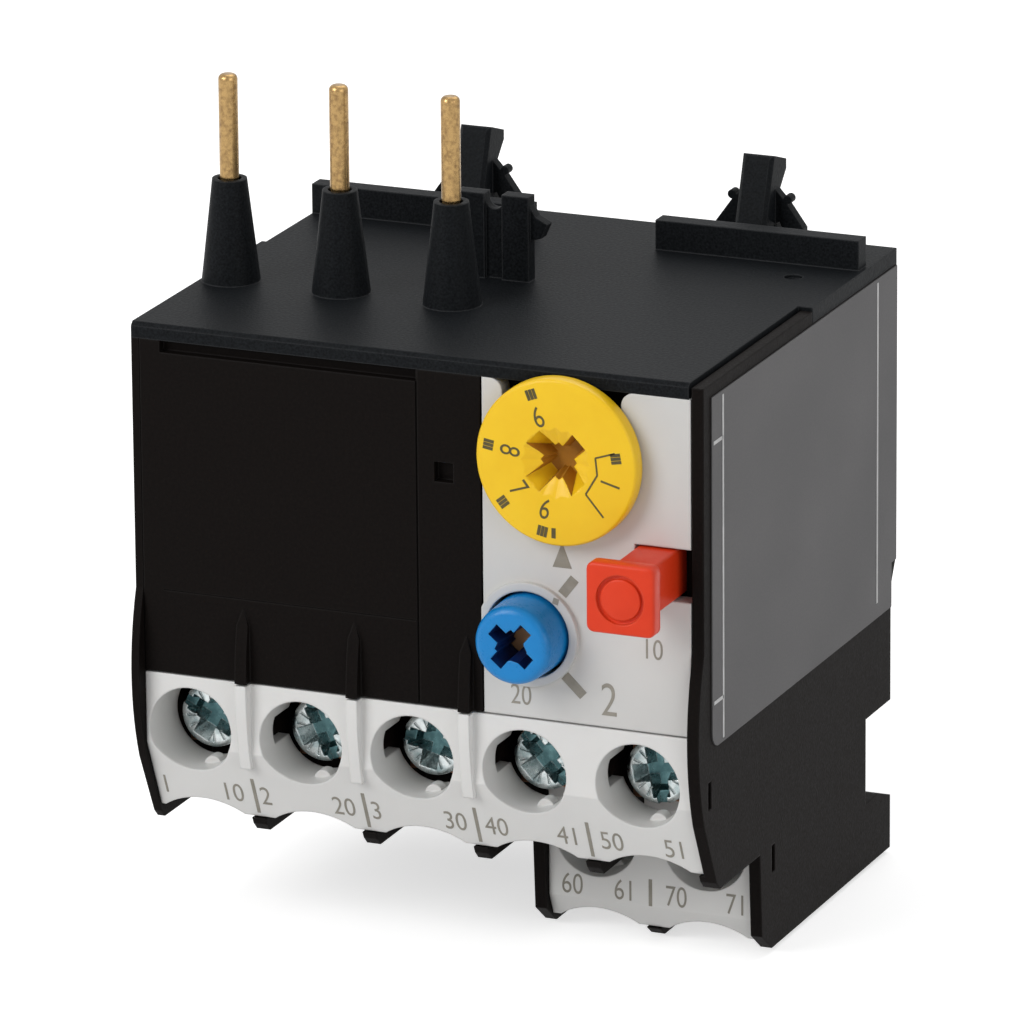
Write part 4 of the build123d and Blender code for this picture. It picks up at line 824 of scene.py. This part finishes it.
screwLow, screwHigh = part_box("terminal_screw_1")
screwModel = makeScrew(screwShape, (screwHigh[1] - screwLow[1]) / mm)
soften(screwModel, screwShape["smooth"])
for number, turn in enumerate(screwShape["turns"], 1):
    node = f"terminal_screw_{number}"
    screw = screwModel.copy()
    screw.data = screwModel.data.copy()
    screw.name = f"screw_{number}_threaded"
    bpy.context.scene.collection.objects.link(screw)
    putAt(screw, frontSpot(node), turn)
    standIn(screw, node, f"screw_{number}", "zinc")
    # painted shade: the screw's cross recess gets the darker teal finish
    paintRecessShade(screw, "teal", frontSpot(node), *screwShape["shade"])
bpy.data.objects.remove(screwModel, do_unlink=True)
print("screws modelled:", len(screwShape["turns"]))


# thin prints

printShape = {"thick": 0.03, "proud": 0.008, "narrow": 0.78, "thin": 0.005}


def layOn(piece, spot, right, up):
    # lays a flat piece, drawn in X and Y, on a face of the object
    right = Vector(right).normalized()
    up = Vector(up).normalized()
    out = right.cross(up)
    base = Vector(spot) * mm + out * printShape["proud"] * mm
    rows = [[right[i], up[i], out[i], base[i]] for i in range(3)] + [[0, 0, 0, 1]]
    piece.data.transform(Matrix(rows))
    piece.data.update()


def inkNumber(text, x, y, size, turn=0.0):
    bpy.ops.object.select_all(action="DESELECT")
    bpy.ops.object.text_add(location=(0, 0, 0))
    word = bpy.context.object
    word.data.body = text
    word.data.size = size * mm
    word.data.align_x = "CENTER"
    word.data.align_y = "CENTER"
    word.data.extrude = printShape["thick"] / 2 * mm
    word.data.offset = -printShape["thin"] * size * mm
    bpy.ops.object.convert(target="MESH")
    word = bpy.context.object
    narrow = Matrix.Diagonal((printShape["narrow"], 1, 1, 1))
    place = Matrix.Translation((x * mm, y * mm, 0)) @ Matrix.Rotation(math.radians(turn), 4, "Z")
    word.data.transform(place @ narrow)
    outwards(word)
    return word


def inkBar(start, end, width):
    # a straight printed bar between two points of the face
    reach = Vector(end) - Vector(start)
    middle = (Vector(end) + Vector(start)) / 2
    bpy.ops.object.select_all(action="DESELECT")
    bpy.ops.mesh.primitive_cube_add(size=1, location=(middle.x * mm, middle.y * mm, 0),
                                    rotation=(0, 0, math.atan2(reach.y, reach.x)),
                                    scale=(reach.length * mm, width * mm, printShape["thick"] * mm))
    return settle("inkBar")


def finishPrint(pieces, name, spot, right, up, body, finish):
    sheet = joinAll(pieces)
    sheet.name = name
    layOn(sheet, spot, right, up)
    standIn(sheet, None, body, finish)


# setting dial

dialShape = {
    "sides": 144,
    "radius": 6.25,
    "thick": 1.3,
    "rim": 0.28,
    "backRim": 0.12,
    "hubRadius": 2.0,
    "hubLap": 0.3,
    "mouth": 2.75,
    "throat": 1.2,
    "funnel": 0.75,
    "folds": 16,
    "pleat": 0.9,
    "funnelLap": 0.02,
    "crossReach": 2.55,
    "crossWidth": 1.45,
    "crossDepth": 2.3,
    "crossShare": 0.55,
    "crossTurn": 46,
    "crossLap": 0.02,
    "throatMouth": 1.6,
    "throatFoot": 0.9,
    "throatFolds": 8,
    "throatPleat": 0.82,
    "throatLap": 0.03,
    "throatBeyond": 0.02,
    "smooth": 25,
    "shade": (2.6, 0.9, 2.4),
    "squareAngles": [110.6, 170.6, 219.0, 258.5],
    "squareRadius": 5.3,
    "squareSize": 0.78,
    "strokes": 3,
    "strokeWidth": 0.235,
    "digits": [("9", 111.7), ("8", 170.6), ("7", 217.2), ("6", 256.5)],
    "digitRadius": 3.68,
    "digitSize": 2.25,
    "lastSquare": (4.68, 0.85),
    "one": (4.15, -1.1),
    "pointerBar": [(-0.18, -4.88), (-0.18, -5.64)],
    "pointerWidth": 0.32,
    "bracket": [(4.6, 1.24), (3.10, 0.74), (3.24, -0.54), (2.34, -2.05), (3.71, -3.66)],
    "bracketWidth": 0.13,
}


def makeDial(shape):
    low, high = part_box("setting_dial")
    length = (high[1] - low[1]) / mm
    disc = addRod("dialDisc", shape["radius"], 0, shape["thick"], sides=shape["sides"])
    roundRim(disc, 0, shape["rim"])
    roundRim(disc, shape["thick"], shape["backRim"], 2)
    combine(disc, addRod("hub", shape["hubRadius"], shape["thick"] - shape["hubLap"], length), "UNION")
    funnel = pleatedCone("funnel", shape["mouth"], shape["throat"], 0, shape["funnel"], shape["folds"],
                         shape["pleat"])
    funnel.data.transform(Matrix.Translation((0, -shape["funnelLap"] * mm, 0)))
    combine(disc, funnel)
    combine(disc, crossTool("cross", shape["crossReach"], shape["crossWidth"], -shape["crossLap"],
                            shape["crossDepth"], shape["crossShare"], shape["crossTurn"]))
    combine(disc, pleatedCone("throat", shape["throatMouth"], shape["throatFoot"], -shape["throatLap"],
                              shape["crossDepth"] + shape["throatBeyond"], shape["throatFolds"],
                              shape["throatPleat"]))
    soften(disc, shape["smooth"])
    putAt(disc, frontSpot("setting_dial"))
    return disc


dial = makeDial(dialShape)
dial.name = "dial_disc"
standIn(dial, "setting_dial", "dial", "yellow")
# painted shade: the dial's recess gets the darker amber finish
paintRecessShade(dial, "amber", frontSpot("setting_dial"), *dialShape["shade"])


def dialPrint(shape):
    marks = []
    spots = [Vector((math.cos(a), math.sin(a))) * shape["squareRadius"]
             for a in map(math.radians, shape["squareAngles"])]
    reach = shape["squareSize"] / 2
    spread = (shape["squareSize"] - shape["strokeWidth"]) / (shape["strokes"] - 1)
    for middle in spots + [Vector(shape["lastSquare"])]:
        out = middle.normalized()
        across = Vector((-out.y, out.x))
        for stroke in range(shape["strokes"]):
            spot = middle + across * spread * (stroke - (shape["strokes"] - 1) / 2)
            marks.append(inkBar(spot - out * reach, spot + out * reach, shape["strokeWidth"]))
    for digit, angle in shape["digits"]:
        a = math.radians(angle)
        x = math.cos(a) * shape["digitRadius"]
        y = math.sin(a) * shape["digitRadius"]
        marks.append(inkNumber(digit, x, y, shape["digitSize"], angle + 90))
    x, y = shape["one"]
    marks.append(inkNumber("1", x, y, shape["digitSize"], math.degrees(math.atan2(y, x)) - 90))
    marks.append(inkBar(*shape["pointerBar"], shape["pointerWidth"]))
    corners = shape["bracket"]
    for start, end in zip(corners, corners[1:]):
        marks.append(inkBar(start, end, shape["bracketWidth"]))
    return marks


finishPrint(dialPrint(dialShape), "dial_numbers", frontSpot("setting_dial") / mm, (1, 0, 0), (0, 0, 1),
            "dial", "darkInk")
print("dial modelled")


# reset knob

knobShape = {
    "sides": 96,
    "radius": 3.15,
    "taper": 0.935,
    "rim": 0.62,
    "rimSteps": 4,
    "boreRadius": 1.56,
    "boreFront": 3.0,
    "boreLap": 1.0,
    "crossReach": 1.85,
    "crossWidth": 1.05,
    "crossShare": 0.75,
    "crossTurn": 40,
    "crossLap": 0.02,
    "crossBeyond": 0.4,
    "throat": 1.3,
    "throatFoot": 1.04,
    "throatFolds": 7,
    "throatPleat": 0.8,
    "throatLap": 0.03,
    "smooth": 28,
    "shade": (2.6, 0.4, 3.5),
}


def makeKnob(shape):
    low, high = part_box("reset_knob")
    length = (high[1] - low[1]) / mm
    knob = addRod("knobBody", shape["radius"], 0, length, sides=shape["sides"])
    resizeEnd(knob, 0, shape["taper"])
    roundRim(knob, 0, shape["rim"], shape["rimSteps"])
    combine(knob, addRod("bore", shape["boreRadius"], shape["boreFront"], length + shape["boreLap"]))
    back = shape["boreFront"] + shape["crossBeyond"]
    combine(knob, crossTool("cross", shape["crossReach"], shape["crossWidth"], -shape["crossLap"], back,
                            shape["crossShare"], shape["crossTurn"]))
    combine(knob, pleatedCone("throat", shape["throat"], shape["throatFoot"], -shape["throatLap"], back,
                              shape["throatFolds"], shape["throatPleat"]))
    soften(knob, shape["smooth"])
    putAt(knob, frontSpot("reset_knob"))
    return knob


knob = makeKnob(knobShape)
knob.name = "knob_body"
standIn(knob, "reset_knob", "reset_turn_knob", "blue")
# painted shade: the knob's recess gets the darker navy finish
paintRecessShade(knob, "navy", frontSpot("reset_knob"), *knobShape["shade"])
print("knob modelled")


# test button

buttonShape = {
    "head": 5.25,
    "headThick": 1.3,
    "corner": 0.55,
    "rim": 0.22,
    "backRim": 0.1,
    "ringOuter": 1.85,
    "ringInner": 1.55,
    "ringDepth": 0.3,
    "ringLap": 0.1,
    "discSunk": 0.04,
    "discRim": 0.12,
    "discLap": 0.3,
    "neckWidth": 3.1,
    "neckHeight": 3.7,
    "neckRound": 0.22,
    "neckEnd": 11.0,
    "neckLap": 0.2,
    "stemSides": 40,
    "stemRadius": 1.2,
    "stemRound": 0.15,
    "stemLap": 0.2,
    "smooth": 30,
}


def makeButton(shape):
    low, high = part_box("test_button")
    length = (high[1] - low[1]) / mm
    head = addBar("buttonHead", shape["head"], shape["head"], 0, shape["headThick"])
    roundSides(head, shape["corner"])
    roundRim(head, 0, shape["rim"], 3)
    roundRim(head, shape["headThick"], shape["backRim"], 2)
    combine(head, addRod("ring", shape["ringOuter"], -shape["ringLap"], shape["ringDepth"]))
    disc = addRod("disc", shape["ringInner"], shape["discSunk"], shape["ringDepth"] + shape["discLap"])
    roundRim(disc, shape["discSunk"], shape["discRim"], 2)
    combine(head, disc, "UNION")
    neck = addBar("neck", shape["neckWidth"], shape["neckHeight"], shape["headThick"] - shape["neckLap"],
                  shape["neckEnd"])
    roundSides(neck, shape["neckRound"], 3)
    combine(head, neck, "UNION")
    stem = addRod("stem", shape["stemRadius"], shape["neckEnd"] - shape["stemLap"], length,
                  sides=shape["stemSides"])
    roundRim(stem, length, shape["stemRound"], 2)
    combine(head, stem, "UNION")
    soften(head, shape["smooth"])
    putAt(head, frontSpot("test_button"))
    return head


button = makeButton(buttonShape)
button.name = "button_body"
standIn(button, "test_button", "test_slide", "red")
print("button modelled")


# return springs of the knob, the button and the contact carrier

springShape = {
    "wire": 0.22,
    "turns": 6,
    "sides": 12,
    "steps": 32,
    "smooth": 60,
    "springs": [
        {"node": "reset_spring", "joint": "reset_push", "travel": 2.0},
        {"node": "test_spring", "joint": "test_push", "travel": 2.5},
    ],
}


def makeSpring(shape, item):
    low, high = [Vector(corner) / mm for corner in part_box(item["node"])]
    length = high.y - low.y
    pitch = (length - 2 * shape["wire"]) / shape["turns"]
    middle = (high.x - low.x) / 2 - shape["wire"]
    spring = windUp(item["node"] + "_wound", shape["sides"], shape["wire"], middle, shape["wire"], pitch,
                    shape["turns"], shape["steps"])
    soften(spring, shape["smooth"])
    putAt(spring, frontSpot(item["node"]))
    standIn(spring, item["node"], "relay_body", "wire")
    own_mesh(spring)


def makeLiftSpring(shape):
    # stands upright on the body's floor
    low, high = [Vector(corner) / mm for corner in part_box("carrier_spring")]
    pitch = (high.z - low.z - 2 * shape["wire"]) / shape["turns"]
    middle = (high.x - low.x) / 2 - shape["wire"]
    spring = windUp("carrier_spring_wound", shape["sides"], shape["wire"], middle, shape["wire"], pitch,
                    shape["turns"], shape["steps"])
    spring.data.transform(Matrix.Rotation(math.pi / 2, 4, "X"))
    foot = Vector(((low.x + high.x) / 2, (low.y + high.y) / 2, low.z)) * mm
    putAt(spring, foot)
    soften(spring, shape["smooth"])
    dress(spring, "wire")
    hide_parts("carrier_spring")
    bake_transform(spring)


for item in springShape["springs"]:
    makeSpring(springShape, item)
makeLiftSpring(springShape)
print("springs wound")


# prints on the operating panel, the strips and the label

panelPrint = {
    "face": -12.9,
    "size": 2.2,
    "ten": (18.5, -20.35),
    "twenty": (8.2, -25.0),
    "two": (15.1, -24.65),
    "twoSize": 3.6,
    "upperBar": [(12.47, -15.63), (11.48, -16.93)],
    "lowerBar": [(11.65, -23.05), (13.10, -24.44)],
    "barWidth": 0.76,
    "arrow": [(11.5, -13.1), (11.5, -14.9)],
    "arrowWidth": 1.5,
    "arrowTip": 0.05,
    "tick": [(11.2, -17.15), (11.08, -17.6)],
    "tickWidth": 0.45,
    "collarProud": 0.4,
}


def inkArrow(tip, foot, width, share):
    # a printed wedge that points up at the dial, its tip narrowed to the share
    arrow = inkBar(tip, foot, width)
    pick(arrow, "VERT", lambda spot: abs(spot.y - tip[1] * mm) < hair)
    bpy.ops.transform.resize(value=(share, 1, 1), center_override=(tip[0] * mm, tip[1] * mm, 0))
    leaveEdit()
    return arrow


def panelMarks(shape):
    return [
        inkNumber("10", *shape["ten"], shape["size"]),
        inkNumber("20", *shape["twenty"], shape["size"]),
        inkNumber("2", *shape["two"], shape["twoSize"]),
        inkBar(*shape["upperBar"], shape["barWidth"]),
        inkBar(*shape["lowerBar"], shape["barWidth"]),
        inkArrow(*shape["arrow"], shape["arrowWidth"], shape["arrowTip"]),
    ]


finishPrint(panelMarks(panelPrint), "panel_numbers", (0, panelPrint["face"], 0), (1, 0, 0), (0, 0, 1),
            "relay_body", "ink")
finishPrint([inkBar(*panelPrint["tick"], panelPrint["tickWidth"])], "collar_tick",
            (0, panelPrint["face"] - panelPrint["collarProud"], 0), (1, 0, 0), (0, 0, 1),
            "relay_body", "ink")

upperPrint = {
    "top": (-12.9, -32.2),
    "foot": (-10.5, -37.8),
    "level": 4.1,
    "size": 2.45,
    "numbers": [("1", -21.1), ("10", -15.7), ("2", -13.0), ("20", -6.7), ("3", -4.1), ("30", 2.2),
                ("40", 5.5), ("41", 11.2), ("50", 14.6), ("51", 19.6)],
    "bars": [-13.85, -4.95, 3.95, 12.85],
    "barHeight": 3.3,
    "barWidth": 0.27,
}

lowerPrint = {
    "face": -1.1,
    "level": -43.5,
    "size": 2.3,
    "numbers": [("60", 7.2), ("61", 11.4), ("70", 15.5), ("71", 20.3)],
    "bar": [(13.45, -42.3), (13.45, -44.4)],
    "barWidth": 0.27,
}


def stripMarks(shape):
    # drawn on the sloped lower part, measured down from its top
    marks = [inkNumber(text, x, -shape["level"], shape["size"]) for text, x in shape["numbers"]]
    half = shape["barHeight"] / 2
    for x in shape["bars"]:
        marks.append(inkBar((x, -shape["level"] - half), (x, -shape["level"] + half), shape["barWidth"]))
    return marks


topY, topZ = upperPrint["top"]
footY, footZ = upperPrint["foot"]
finishPrint(stripMarks(upperPrint), "upper_numbers", (0, topY, topZ), (1, 0, 0),
            (0, topY - footY, topZ - footZ), "relay_body", "ink")
lowerMarks = [inkNumber(text, x, lowerPrint["level"], lowerPrint["size"])
              for text, x in lowerPrint["numbers"]]
lowerMarks.append(inkBar(*lowerPrint["bar"], lowerPrint["barWidth"]))
finishPrint(lowerMarks, "lower_numbers", (0, lowerPrint["face"], 0), (1, 0, 0), (0, 0, 1),
            "relay_body", "ink")

labelPrint = {
    "lines": [[(-9.4, -1.6), (-9.4, -27.5)], [(21.7, -1.6), (21.7, -26.6)],
              [(-11.2, -4.8), (-9.4, -4.8)], [(-11.2, -24.4), (-9.4, -24.4)]],
    "width": 0.27,
}
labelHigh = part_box("side_label")[1]
finishPrint([inkBar(start, end, labelPrint["width"]) for start, end in labelPrint["lines"]], "label_lines",
            (labelHigh[0] / mm, 0, 0), (0, 1, 0), (0, 0, 1), "relay_body", "paleInk")
print("prints laid on")
